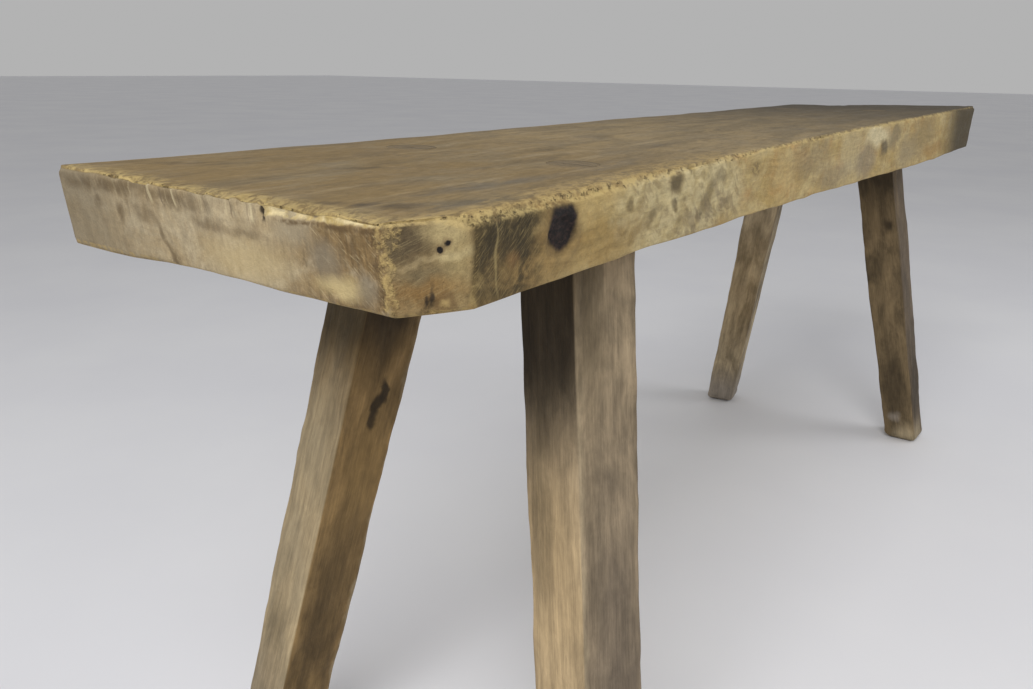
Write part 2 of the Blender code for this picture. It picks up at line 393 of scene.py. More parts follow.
def slab_relief(grid, facing, from_end, depth, joints, deepest):
    """How far wear, chips, knots and hewing move each point of the slab along its normal.

    Each form is a height or a depth times smooth masks that say where it lies: on which
    face, how far from the end or the edge, or inside which oval of x or y and the depth
    below the top. No form goes in further than the deepest, and all fade out at the joints.
    """
    x, y = grid[..., 0], grid[..., 1]
    top = smooth_step(facing[..., 2], 0.3, 0.95)
    under = smooth_step(facing[..., 2], -0.3, -0.95)
    front = smooth_step(facing[..., 1], -0.3, -0.9)
    end = smooth_step(facing[..., 0], -0.3, -0.9)
    edge = 1 - smooth_step(np.abs(facing).max(axis=-1), 0.72, 0.97)
    relief = 0.0005 * layered_noise(grid * (9, 24, 24), 11)
    relief += top * 0.0007 * layered_noise(grid * (4, 16, 4), 21)
    relief -= top * 0.0010 * smooth_step(layered_noise(grid * (3, 26, 3), 31), 0.35, 1.0)
    relief += under * 0.0012 * layered_noise(grid * (14, 10, 4), 41)
    relief += front * 0.0008 * layered_noise(grid * (12, 4, 30), 51)
    upper = smooth_step(depth, 0.020, 0.008)
    relief -= edge * (1 - under) * (0.0003 + 0.0008 * upper) * (1 + layered_noise(grid * (34, 50, 30), 61))
    near_end = smooth_step(from_end, 0.012, 0.003)
    ribbed = smooth_step(y, -0.042, -0.032) * smooth_step(y, 0.100, 0.060)
    arcs = y + 18 * depth * depth
    ribs = noise(np.stack((arcs * 190, x * 0, arcs * 0), axis=-1), 71)
    relief -= near_end * smooth_step(depth, 0.012, 0.004) * ribbed * 0.0022 * smooth_step(ribs, -0.1, 0.5)
    broken = smooth_step(y, -0.034, -0.040) * smooth_step(y, -0.117, -0.107)
    chips = noise(np.stack((y * 120, x * 90, depth * 160), axis=-1), 81)
    band = smooth_step(depth, 0.0085 + (y + 0.034) * 0.050, 0.0045 + (y + 0.034) * 0.050)
    relief -= near_end * band * broken * (0.0016 + 0.0014 * chips)
    hollow = oval(np.stack((y, depth), axis=-1), (-0.0660, 0.0030), (0.0130, 0.0030))
    relief -= near_end * smooth_step(hollow, 1.3, 0.5) * 0.0022
    crack = np.exp(-(((arcs + 0.0350) / 0.0013) ** 2)) * smooth_step(depth, 0.012, 0.007)
    relief -= near_end * crack * 0.0036
    knot = oval(np.stack((x, depth), axis=-1), (-0.6070, 0.0235), (0.0150, 0.0125))
    knot_floor = 0.0022 + 0.0008 * layered_noise(grid * (260, 40, 260), 91)
    relief -= front * smooth_step(knot, 1.02, 0.80) * knot_floor
    relief += front * 0.0006 * np.exp(-(((knot - 1.2) / 0.16) ** 2))
    worn = front * smooth_step(depth, 0.016, 0.0) * smooth_step(x, -0.40, -0.55)
    relief -= worn * 0.0012 * (1 + noise(grid * (22, 4, 8), 101))
    notch_x = -0.4255 + 0.9 * np.clip(depth, 0.0, 0.012)
    notch = np.exp(-(((x - notch_x) / 0.0030) ** 2)) * smooth_step(depth, 0.014, 0.010)
    relief -= (front + edge) * notch * 0.0022
    chip = oval(np.stack((x, depth), axis=-1), (-0.7090, 0.0440), (0.0034, 0.0060))
    relief -= np.maximum(end, front) * smooth_step(chip, 1.2, 0.4) * 0.0020
    relief = np.maximum(relief, -deepest)
    for joint in joints:
        relief *= smooth_step(np.linalg.norm(grid - joint, axis=-1), 0.028, 0.050)
    return relief


def make_slab_mesh(form, joints):
    """The slab's skin: rings of the bent box's section, from one end's middle line to the other's.

    At each end the rings shrink evenly to the middle line, after a quarter circle of end
    wear. The points carry three vectors for the finish: which way their face looks; their
    distances from the clipped end, the front side and the top; and how far across the clip
    they lie, with its ridge at 1.
    """
    sizes = form.sizes
    station = runs((
        (0.060, 0.0022), (0.030, 0.0030), (0.050, 0.0016), (0.220, 0.0034), (0.140, 0.0050), (0.900, 0.0090),
    ))
    top_shares = runs(((0.024, 0.0012), (0.200, 0.0022), (0.040, 0.0040)))[1:-1]
    side_shares = runs(((0.026, 0.0016),))[:-1]
    arc = np.linspace(0.0, 1.0, 7)
    middle = form.box_half_depth
    turn = np.linspace(0.0, math.pi / 2, 6)
    round_in = sizes.end_wear * (1 - np.cos(turn))
    round_back = sizes.end_wear * (1 - np.sin(turn))
    flat_near = np.linspace(sizes.end_wear, middle, 16)[1:]
    flat_far = np.linspace(sizes.end_wear, middle, 8)[1:]
    inset = np.concatenate((flat_near[::-1], round_in[::-1], np.zeros(len(station) - 2), round_in, flat_far))
    offset = np.concatenate((
        np.zeros(len(flat_near)), round_back[::-1],
        np.full(len(station) - 2, sizes.end_wear), round_back, np.zeros(len(flat_far)),
    ))
    share = np.concatenate((
        np.zeros(len(flat_near) + len(turn)), station[1:-1], np.ones(len(turn) + len(flat_far)),
    ))
    end_turn = np.concatenate((
        np.full(len(flat_near), -1.0), -np.sin(turn)[::-1],
        np.zeros(len(station) - 2), np.sin(turn), np.ones(len(flat_far)),
    ))
    inset, offset, share, end_turn = (values[:, None] for values in (inset, offset, share, end_turn))
    length = (share - 0.5) * LENGTH
    wander = noise(np.concatenate((length * 13, length * 0, length * 0), axis=1), 5)[:, None]
    top_front = sizes.top_wear * (1.1 + 0.3 * wander + 0.8 * smooth_step(length, -0.40, -0.55))
    top_back = np.full_like(share, sizes.top_wear)
    low_front = np.full_like(share, sizes.bottom_wear)
    upper = form.half_section(inset, top_front, top_back, top_shares, side_shares, arc)
    lower = form.half_section(inset, low_front, low_front, top_shares, side_shares, arc)
    flips = (1, -1, 1, -1)
    y, z, normal_y, normal_z = (
        np.concatenate((over, flip * below[:, -2:0:-1]), axis=1)
        for over, below, flip in zip(upper, lower, flips)
    )
    grid, from_end, depth = form.bend(y, z, share, offset)
    level = np.sqrt(np.clip(1 - end_turn * end_turn, 0.0, 1.0))
    facing = np.stack((end_turn * np.ones_like(y), normal_y * level, normal_z * level), axis=-1)
    normals = grid_normals(grid)
    half = grid.shape[1] // 2
    mirror = (-np.arange(grid.shape[1])) % grid.shape[1]
    for last, before in ((0, 1), (-1, -2)):
        normals[last] = unit(normals[before] + normals[before][mirror])
    outward = (normals[len(normals) // 2, half // 2] @ np.array((0.0, 0.0, 1.0))) > 0
    normals *= 1 if outward else -1
    deepest = 0.85 * sizes.end_wear
    relief = slab_relief(grid, facing, from_end, depth, joints, deepest)
    from_front = grid[..., 1] - form.front(grid[..., 0])
    half_end = (sizes.front_clipped + sizes.back) / 2
    ridge = (y / form.box_half_width * half_end + half_end) / sizes.clip_across
    reach = np.stack((from_end, from_front, depth), axis=-1)
    corner = np.stack((ridge, ridge * 0, ridge * 0), axis=-1)
    grid = grid + normals * relief[..., None]
    return mesh_from_grid("slab", grid, {"facing": facing, "reach": reach, "corner": corner}, False)


def mark_bores(mesh, radius):
    """Give the rims that the bores cut a sharp edge and the marks of the face they lie in.

    The points that the cut made have no marks yet, so they are known by a facing of zero.
    They lie on the top or the underside, and count as far from the end and the front.
    """
    count = len(mesh.vertices)
    values = {}
    for key in ("facing", "reach"):
        flat = np.empty(count * 3, np.float32)
        mesh.attributes[key].data.foreach_get("vector", flat)
        values[key] = flat.reshape(-1, 3)
    places = np.empty(count * 3, np.float32)
    mesh.vertices.foreach_get("co", places)
    made = np.linalg.norm(values["facing"], axis=1) < 0.9
    upper = places.reshape(-1, 3)[:, 2] > HEIGHT - radius
    values["facing"][made] = (0.0, 0.0, -1.0)
    values["facing"][made & upper] = (0.0, 0.0, 1.0)
    values["reach"][made] = FAR_FROM_EDGES
    for key, rows in values.items():
        mesh.attributes[key].data.foreach_set("vector", rows.ravel())
    mesh.set_sharp_from_angle(angle=math.radians(60))


class LegLine:
    """The straight centre line of a leg, and sections cut square or level across it."""

    def __init__(self, slab, sizes, end, side):
        overhang = sizes.overhang_clipped if end < 0 else sizes.overhang_plain
        x = end * (LENGTH / 2 - overhang)
        self.slab = slab
        self.shoulder = np.array((x, side * sizes.stance, slab.under(x, side * sizes.stance)))
        out = np.array((end * sizes.reach_along, side * sizes.reach_across))
        self.foot = np.array((x + out[0], side * sizes.stance + out[1], 0.0))
        self.up = unit(self.shoulder - self.foot)

    def axes(self, degrees):
        """Two directions square to the leg, turned about it from the bench's own axes."""
        turn = math.radians(degrees)
        level = np.array((math.cos(turn), math.sin(turn), 0.0))
        first = level - self.up * (level @ self.up)
        first /= np.linalg.norm(first)
        return first, np.cross(self.up, first)

    def meet(self, u, v, axes, surface, lift=0.0):
        """Where lines along the leg through (u, v) meet a nearly level surface z = f(x, y) + lift."""
        return self.meet_again(self.foot + axes[0] * u[..., None] + axes[1] * v[..., None], surface, lift)

    def meet_again(self, points, surface, lift=0.0):
        """Slide points along the leg to a nearly level surface z = f(x, y) + lift.

        Each of a few rounds moves the points along the leg by what is missing in height.
        """
        for _ in range(5):
            missing = surface(points[..., 0], points[..., 1]) + lift - points[..., 2]
            points = points + self.up * (missing / self.up[2])[..., None]
        return points

    def crossing(self, surface):
        """Where the centre line meets a surface."""
        return self.meet(np.zeros(1), np.zeros(1), self.axes(0.0), surface)[0]


def floor_level(x, y):
    """The floor, as a surface."""
    return np.zeros_like(x)


def rounded_square(half, radius, angle):
    """Points of a square with round corners, on rays at these angles.

    Each ray meets the sharp square; the nearest point of a smaller square, moved one
    radius towards that meeting point, lies on the rounded one.
    """
    ray = np.stack((np.cos(angle), np.sin(angle)), axis=-1)
    sharp = half * ray / np.abs(ray).max(axis=-1, keepdims=True)
    core = np.clip(sharp, radius - half, half - radius)
    points = core + radius * unit(sharp - core)
    return points[..., 0], points[..., 1]


def make_leg_mesh(place, line, sizes, degrees, width_share, foot_share, seed):
    """A leg's skin: rings from the foot's middle up the post, in over the shoulder, up the tenon.

    Each ring holds the points where lines along the leg, through a section's outline, meet
    the floor, the underside or the top. Noise moves the post's rings in and out, and wears
    the arrises down.
    """
    even = np.arange(LEG_SIDES) / LEG_SIDES * math.tau
    towards_corners = 0.16
    angle = even + towards_corners * np.sin(4 * even)
    axes = line.axes(degrees)
    half = sizes.foot_width * width_share / 2
    foot = sizes.foot_wear * foot_share
    u, v = rounded_square(half, sizes.arris, angle)
    upper_u, upper_v = rounded_square(sizes.top_width * width_share / 2, sizes.arris, angle)
    sole_sizes = np.linspace(0.0, 1 - foot / half, 5)
    rings = [line.meet(u * size, v * size, axes, floor_level) for size in sole_sizes]
    for turn in np.linspace(0.0, math.pi / 2, 6)[1:]:
        size = 1 - foot * (1 - math.sin(turn)) / half
        rings.append(line.meet(u * size, v * size, axes, floor_level, foot * (1 - math.cos(turn))))
    base = rings[-1]
    top = line.meet(upper_u, upper_v, axes, line.slab.under, -sizes.gap)
    rings += [base + (top - base) * share for share in np.linspace(0.0, 1.0, 170)[1:]]
    post_end = len(rings) - 1
    turned = angle + math.radians(degrees)
    u_round = sizes.tenon / 2 * np.cos(turned)
    v_round = sizes.tenon / 2 * np.sin(turned)
    plain = line.axes(0.0)
    slab = line.slab
    root = line.meet(u_round, v_round, plain, slab.under, -sizes.gap)
    shoulder = [top + (root - top) * share for share in (0.35, 0.7, 1.0)]
    rings += [line.meet_again(points, slab.under, -sizes.gap) for points in shoulder]
    head = line.meet(u_round, v_round, plain, slab.top)
    rings += [root + (head - root) * share for share in np.linspace(0.0, 1.0, 12)[1:]]
    crown_sizes = (0.8, 0.6, 0.4, 0.2, 0.0)
    rings += [line.meet(u_round * size, v_round * size, plain, slab.top) for size in crown_sizes]
    grid = np.array(rings)
    local = grid - line.foot
    grain = np.stack((local @ axes[0], local @ axes[1], local @ line.up), axis=-1)
    ring = np.arange(len(grid))[:, None] + np.zeros(len(angle))
    fade = 6.0
    body = smooth_step(ring, fade, 2 * fade) * smooth_step(ring, post_end, post_end - fade)
    normals = grid_normals(grid)
    outward = ((grid - grid.mean(axis=1, keepdims=True)) * normals).sum(axis=-1)[post_end // 2].mean()
    normals *= math.copysign(1.0, outward)
    corner = smooth_step(np.abs(np.sin(2 * angle))[None, :], 0.80, 1.0)
    relief = 0.0008 * layered_noise(grain * (18, 18, 7), seed)
    relief += 0.00035 * layered_noise(grain * (80, 80, 14), seed + 9)
    relief -= 0.0010 * corner * (1 + layered_noise(grain * (9, 9, 26), seed + 17))
    grid = grid + normals * (body * relief)[..., None]
    rim = len(grid) - len(crown_sizes) - 1.0
    on_crown = smooth_step(ring, rim - 1.0, rim)
    crown = np.stack((on_crown, on_crown, on_crown), axis=-1)
    return mesh_from_grid("leg_skin_" + place, grid, {"grain": grain, "crown": crown}, False)


def wedge_rings(line, sizes, grow, spare, rise):
    """Tip and head corners of a wedge that is wide across the slab's grain and thins downwards.

    A wedge that cuts the kerf is grown all round by the gap, goes a spare length past the
    tenon's rim and rises past the top.
    """
    spread, across = line.axes(0.0)
    head = line.crossing(line.slab.top)
    chord = math.sqrt((sizes.tenon / 2) ** 2 - (sizes.wedge_head / 2) ** 2) - sizes.wedge_side + spare
    slant = (sizes.wedge_head - sizes.wedge_tip) / (2 * sizes.kerf)
    tips = []
    heads = []
    for sign, v in ((1, -chord), (1, chord), (-1, chord), (-1, -chord)):
        start = head + across * v + spread * (sign * (sizes.wedge_head / 2 + grow))
        run = line.up + spread * (sign * slant)
        tips.append(start - run * (sizes.kerf + grow))
        missing = line.slab.top(start[0], start[1]) + rise - start[2]
        heads.append(start + run * (missing / run[2]))
    return tips, heads


class Signal:
    """A number or vector in a node tree, with Python's own operators."""

    def __init__(self, finish, socket):
        self.finish = finish
        self.socket = socket

    def _math(self, operation, first, second=0.0):
        return self.finish.node("ShaderNodeMath", {"operation": operation}, {0: first, 1: second})

    def __add__(self, other):
        return self._math("ADD", self, other)

    def __sub__(self, other):
        return self._math("SUBTRACT", self, other)

    def __mul__(self, other):
        return self._math("MULTIPLY", self, other)

    def __rsub__(self, other):
        return self._math("SUBTRACT", other, self)

    def __abs__(self):
        return self._math("ABSOLUTE", self)

    __radd__ = __add__
    __rmul__ = __mul__

    def highest(self, other):
        """The greater of two numbers."""
        return self._math("MAXIMUM", self, other)

    def rise(self, low, high):
        """0 below low and 1 above high, smoothly; it falls where low is above high."""
        settings = {"interpolation_type": "SMOOTHSTEP"}
        return self.finish.node("ShaderNodeMapRange", settings, {0: self, 1: low, 2: high})


class Finish:
    """A wood finish: a Principled shader whose colour, roughness and bump are worked out.

    Distances from a centre are known up to far, which is counted in radii.
    """

    far = 4.0

    def __init__(self, name):
        self.material = bpy.data.materials.new(name)
        self.material.use_nodes = True
        self.tree = self.material.node_tree
        self.shader = self.tree.nodes["Principled BSDF"]

    def node(self, kind, settings=None, inputs=None, output=0):
        """Add a node: its settings first, then its inputs as values or links; returns one output."""
        made = self.tree.nodes.new(kind)
        for key, value in (settings or {}).items():
            setattr(made, key, value)
        for key, value in (inputs or {}).items():
            if isinstance(value, Signal):
                self.tree.links.new(value.socket, made.inputs[key])
            else:
                made.inputs[key].default_value = value
        return Signal(self, made.outputs[output])

    def place(self):
        """Object coordinates, in metres."""
        return self.node("ShaderNodeTexCoord", output="Object")

    def attribute(self, name):
        """A vector stored on the mesh."""
        return self.node("ShaderNodeAttribute", {"attribute_name": name}, output="Vector")

    def parts(self, vector):
        """The three numbers of a vector."""
        made = self.tree.nodes.new("ShaderNodeSeparateXYZ")
        self.tree.links.new(vector.socket, made.inputs[0])
        return [Signal(self, made.outputs[axis]) for axis in range(3)]

    def stretch(self, vector, scale, shift=(0.0, 0.0, 0.0)):
        """Scale and shift a vector."""
        return self.node("ShaderNodeMapping", None, {"Vector": vector, "Location": shift, "Scale": scale})

    def noise(self, vector, scale, detail=4.0, roughness=0.55, distortion=0.0):
        """Noise from 0 to 1, stretched by its scale along each axis."""
        return self.noise_on(self.stretch(vector, scale), detail, roughness, distortion)

    def noise_on(self, vector, detail, roughness=0.5, distortion=0.0):
        """Noise from 0 to 1, of size 1 on a vector that is stretched already."""
        inputs = {
            "Vector": vector, "Scale": 1.0, "Detail": detail, "Roughness": roughness,
            "Distortion": distortion,
        }
        return self.node("ShaderNodeTexNoise", None, inputs)

    def warp(self, vector, scale, amount):
        """Shift a vector by noise, up to about half the amount each way."""
        inputs = {"Vector": self.stretch(vector, (scale, scale, scale)), "Scale": 1.0, "Detail": 3.0}
        shift = self.node("ShaderNodeTexNoise", None, inputs, output="Color")
        shift = self.stretch(shift, (amount, amount, amount), (-amount / 2, -amount / 2, -amount / 2))
        return self.node("ShaderNodeMapping", None, {"Vector": vector, "Location": shift})

    def cells(self, vector, scale):
        """Distance to the nearest scattered point, on a stretched grid of cells."""
        inputs = {"Vector": self.stretch(vector, scale), "Scale": 1.0}
        return self.node("ShaderNodeTexVoronoi", {"feature": "F1"}, inputs, output="Distance")

    def local(self, vector, centre, radii, turn=(0.0, 0.0, 0.0)):
        """A vector seen from a centre, turned back and measured in radii."""
        inputs = {"Vector": vector, "Location": centre, "Rotation": turn, "Scale": radii}
        return self.node("ShaderNodeMapping", {"vector_type": "TEXTURE"}, inputs)

    def spot(self, vector, centre, radii, turn=(0.0, 0.0, 0.0), soft=0.35):
        """1 inside an oval with these radii and 0 outside, with a soft rim."""
        near = self.nearness(vector, centre, radii, turn)
        return near.rise(1 - (1 + soft) / self.far, 1 - (1 - soft) / self.far)

    def distance(self, vector, centre, radii, turn=(0.0, 0.0, 0.0)):
        """Distance from a centre, in radii."""
        return (1.0 - self.nearness(vector, centre, radii, turn)) * self.far

    def nearness(self, vector, centre, radii, turn):
        """1 at a centre, falling evenly to 0 where it is far, in radii."""
        seen = self.local(vector, centre, [radius * self.far for radius in radii], turn)
        return self.node("ShaderNodeTexGradient", {"gradient_type": "SPHERICAL"}, {0: seen}, output=1)

    def stains(self, tint, face, vector, rows, mask=None):
        """Lay ovals of colour on a face, one for each row of a table, through a mask if there is one."""
        for middle, radii, turn, soft, tone, share in rows:
            oval_share = self.spot(vector, *face(middle, radii, turn), soft=soft)
            if mask is not None:
                oval_share = oval_share * mask
            tint = self.mix(oval_share * share, tint, tone)
        return tint

    def vary(self, colour, pattern, strength):
        """Darken and lighten a colour by a pattern about its middle value."""
        return self.shade(colour, 1.0 + (pattern - 0.5) * strength)

    def scratches(self, vector, turn, length, width, low, high):
        """Thin strokes of this length and width along the turned X axis: stretched noise, cut off."""
        seen = self.local(vector, ORIGIN, (length, width, width), turn)
        return self.noise_on(seen, 2.0).rise(low, high)

    def shade(self, colour, value):
        """Darken or lighten a colour: each channel times a number."""
        grey = self.node("ShaderNodeCombineColor", None, {0: value, 1: value, 2: value})
        return self.mix(1.0, colour, grey, "MULTIPLY")

    def mix(self, share, under, over, blend="MIX"):
        """Lay one colour over another by a share."""
        colours = [value if isinstance(value, Signal) else (*value, 1.0) for value in (under, over)]
        settings = {"data_type": "RGBA", "blend_type": blend}
        return self.node("ShaderNodeMix", settings, {0: share, 6: colours[0], 7: colours[1]}, output=2)

    def finish(self, colour, roughness, height, bump_distance):
        """Wire the surface: colour, roughness and a bump whose height is in units of its distance."""
        inputs = {"Strength": 1.0, "Distance": bump_distance, "Height": height}
        normal = self.node("ShaderNodeBump", None, inputs)
        for name, value in (("Base Color", colour), ("Roughness", roughness), ("Normal", normal)):
            self.tree.links.new(value.socket, self.shader.inputs[name])
        self.shader.inputs["Specular IOR Level"].default_value = 0.22
        return self.material


# The planes of the front side and the clipped end, on which their stains' middles lie.
FRONT_Y = -0.13
END_X = -0.73

# Stains of the slab. Each row holds the middle and radii of an oval on its face, its turn in
# radians, its softness, colour and share. Middles are (x, depth) on the front side, (y, depth)
# on the clipped end, (x, y) on the top and (x, y, depth) on the clipped corner, where depth
# is measured down from the top. Eyes share their colour and softness, so their rows are
# shorter, and so are those of the chips and holes.
EYE_BROWN = (0.100, 0.074, 0.036)
BURR_EYES = (
    ((-0.4508, 0.0130), (0.0110, 0.0060), 0.0, 0.90),
    ((-0.4930, 0.0330), (0.0110, 0.0045), -0.5, 0.62),
    ((-0.5120, 0.0400), (0.0080, 0.0036), -0.5, 0.50),
    ((-0.5230, 0.0220), (0.0050, 0.0034), 0.3, 0.60),
    ((-0.4560, 0.0270), (0.0070, 0.0030), 0.5, 0.65),
    ((-0.4950, 0.0540), (0.0040, 0.0026), 0.0, 0.55),
    ((-0.3700, 0.0160), (0.0100, 0.0050), 0.3, 0.60),
    ((-0.3980, 0.0310), (0.0200, 0.0060), -0.7, 0.50),
)
FRONT_AREAS = (
    ((-0.21, 0.034), (0.050, 0.018), 0.0, 0.5, (0.40, 0.270, 0.100), 0.45),
    ((-0.13, 0.022), (0.060, 0.016), 0.0, 0.5, (0.245, 0.190, 0.105), 0.55),
    ((-0.05, 0.045), (0.060, 0.014), 0.0, 0.5, (0.215, 0.165, 0.100), 0.55),
    ((0.02, 0.026), (0.050, 0.026), 0.0, 0.5, (0.43, 0.355, 0.205), 0.60),
    ((0.075, 0.040), (0.040, 0.018), 0.0, 0.5, (0.225, 0.180, 0.120), 0.65),
    ((0.12, 0.012), (0.050, 0.015), 0.0, 0.5, (0.56, 0.480, 0.290), 0.90),
    ((0.155, 0.033), (0.018, 0.012), 0.0, 0.5, (0.090, 0.070, 0.040), 0.80),
    ((0.20, 0.018), (0.030, 0.014), 0.0, 0.5, (0.205, 0.165, 0.095), 0.70),
    ((0.30, 0.040), (0.070, 0.022), 0.0, 0.5, (0.29, 0.228, 0.126), 0.80),
    ((0.38, 0.022), (0.070, 0.028), 0.0, 0.5, (0.28, 0.205, 0.090), 0.85),
    ((0.44, 0.052), (0.060, 0.012), 0.0, 0.5, (0.30, 0.180, 0.060), 0.60),
    ((-0.572, 0.018), (0.028, 0.026), 0.0, 0.5, (0.36, 0.255, 0.092), 0.55),
    ((-0.555, 0.040), (0.055, 0.015), 0.0, 0.5, (0.26, 0.165, 0.050), 0.65),
)
TOP_MARKS = (
    ((-0.703, -0.085), (0.026, 0.0080), -0.9, 0.8, (0.075, 0.055, 0.032), 0.85),
    ((-0.603, 0.012), (0.020, 0.0060), -0.7, 0.8, (0.085, 0.060, 0.030), 0.65),
    ((-0.667, 0.095), (0.030, 0.0080), -0.7, 0.8, (0.080, 0.056, 0.028), 0.65),
    ((-0.655, -0.112), (0.030, 0.0080), -0.2, 0.8, (0.095, 0.078, 0.052), 0.80),
    ((-0.600, -0.085), (0.055, 0.0090), -0.1, 0.8, (0.120, 0.100, 0.070), 0.75),
    ((-0.640, -0.045), (0.030, 0.0080), -0.5, 0.8, (0.110, 0.080, 0.042), 0.55),
    ((-0.560, 0.060), (0.045, 0.0090), -0.1, 0.8, (0.115, 0.082, 0.042), 0.50),
    ((-0.480, -0.040), (0.050, 0.0100), -0.1, 0.8, (0.120, 0.088, 0.046), 0.45),
    ((-0.470, -0.095), (0.060, 0.0100), 0.1, 0.8, (0.130, 0.105, 0.070), 0.60),
    ((-0.300, -0.060), (0.080, 0.0120), 0.1, 0.8, (0.120, 0.092, 0.055), 0.45),
)
END_AREAS = (
    ((-0.020, 0.036), (0.030, 0.010), 0.0, 0.7, (0.44, 0.335, 0.165), 0.55),
    ((-0.084, 0.041), (0.014, 0.0055), 0.0, 0.7, (0.53, 0.420, 0.210), 0.75),
    ((-0.056, 0.016), (0.012, 0.0080), 0.0, 0.7, (0.335, 0.285, 0.195), 0.55),
    ((-0.076, 0.028), (0.010, 0.0090), 0.0, 0.7, (0.215, 0.180, 0.125), 0.65),
    ((-0.101, 0.040), (0.006, 0.0080), 0.0, 0.7, (0.185, 0.155, 0.110), 0.60),
)
END_DARK = (0.085, 0.054, 0.024)
END_SPOTS = (
    ((0.092, 0.0060), (0.040, 0.0040), 0.0, 0.8, END_DARK, 0.70),
    ((0.030, 0.0095), (0.030, 0.0042), 0.0, 0.8, END_DARK, 0.62),
    ((0.1016, 0.0165), (0.0032, 0.0036), 0.0, 0.8, END_DARK, 0.60),
    ((0.0805, 0.0214), (0.0026, 0.0045), 0.0, 0.8, END_DARK, 0.65),
    ((0.0455, 0.0330), (0.0018, 0.0110), -0.35, 0.8, END_DARK, 0.62),
    ((0.0404, 0.0435), (0.0042, 0.0036), 0.0, 0.8, END_DARK, 0.70),
    ((0.060, 0.0190), (0.010, 0.0050), 0.2, 0.8, END_DARK, 0.50),
    ((0.008, 0.0200), (0.012, 0.0030), 0.1, 0.8, END_DARK, 0.50),
    ((-0.020, 0.0220), (0.014, 0.0026), 0.0, 0.8, END_DARK, 0.45),
)
CLIP_AREAS = (
    ((-0.6985, -0.1295, 0.0260), (0.0085, 0.0220), 0.0, 0.9, (0.335, 0.262, 0.118), 0.62),
    ((-0.7220, -0.1180, 0.0165), (0.0150, 0.0095), 0.0, 0.5, (0.075, 0.056, 0.031), 0.78),
    ((-0.7030, -0.1280, 0.0130), (0.0100, 0.0065), 0.0, 0.7, (0.420, 0.330, 0.160), 0.75),
    ((-0.7000, -0.1290, 0.0245), (0.0090, 0.0035), 0.0, 0.7, (0.460, 0.370, 0.190), 0.70),
    ((-0.7160, -0.1210, 0.0325), (0.0140, 0.0060), 0.0, 0.7, (0.140, 0.108, 0.056), 0.70),
    ((-0.7120, -0.1230, 0.0410), (0.0200, 0.0065), 0.0, 0.6, (0.205, 0.115, 0.036), 0.72),
)
CLIP_LINE = (((-0.7145, -0.1220, 0.0258), (0.0150, 0.0009), -0.20, 0.9, (0.42, 0.325, 0.170), 0.42),)
CLIP_CHIPS = (
    ((-0.7090, -0.1250, 0.0445), (0.0020, 0.0050)), ((-0.7125, -0.1235, 0.0460), (0.0016, 0.0030)),
    ((-0.6930, -0.1320, 0.0455), (0.0012, 0.0012)), ((-0.7275, -0.1150, 0.0470), (0.0011, 0.0040)),
)
CLIP_HOLES = (
    ((-0.7056, -0.1263, 0.0214), (0.0017, 0.0015)), ((-0.7020, -0.1277, 0.0186), (0.0017, 0.0017)),
)


def on_front(middle, radii, turn=0.0):
    """Centre, radii and turns of an oval on the front side."""
    return (middle[0], FRONT_Y, HEIGHT - middle[1]), (radii[0], 1.0, radii[1]), (0.0, turn, 0.0)


def on_end(middle, radii, turn=0.0):
    """Centre, radii and turns of an oval on the clipped end."""
    return (END_X, middle[0], HEIGHT - middle[1]), (1.0, *radii), (turn, 0.0, 0.0)


def on_top(middle, radii, turn=0.0):
    """Centre, radii and turns of an oval on the top."""
    return (*middle, HEIGHT), (*radii, 1.0), (0.0, 0.0, turn)


def on_clip(middle, radii, turn=0.0):
    """Centre, radii and turns of an oval on the clipped corner, from its level and upright radius."""
    return (*middle[:2], HEIGHT - middle[2]), (radii[0], *radii), (0.0, turn, 0.0)


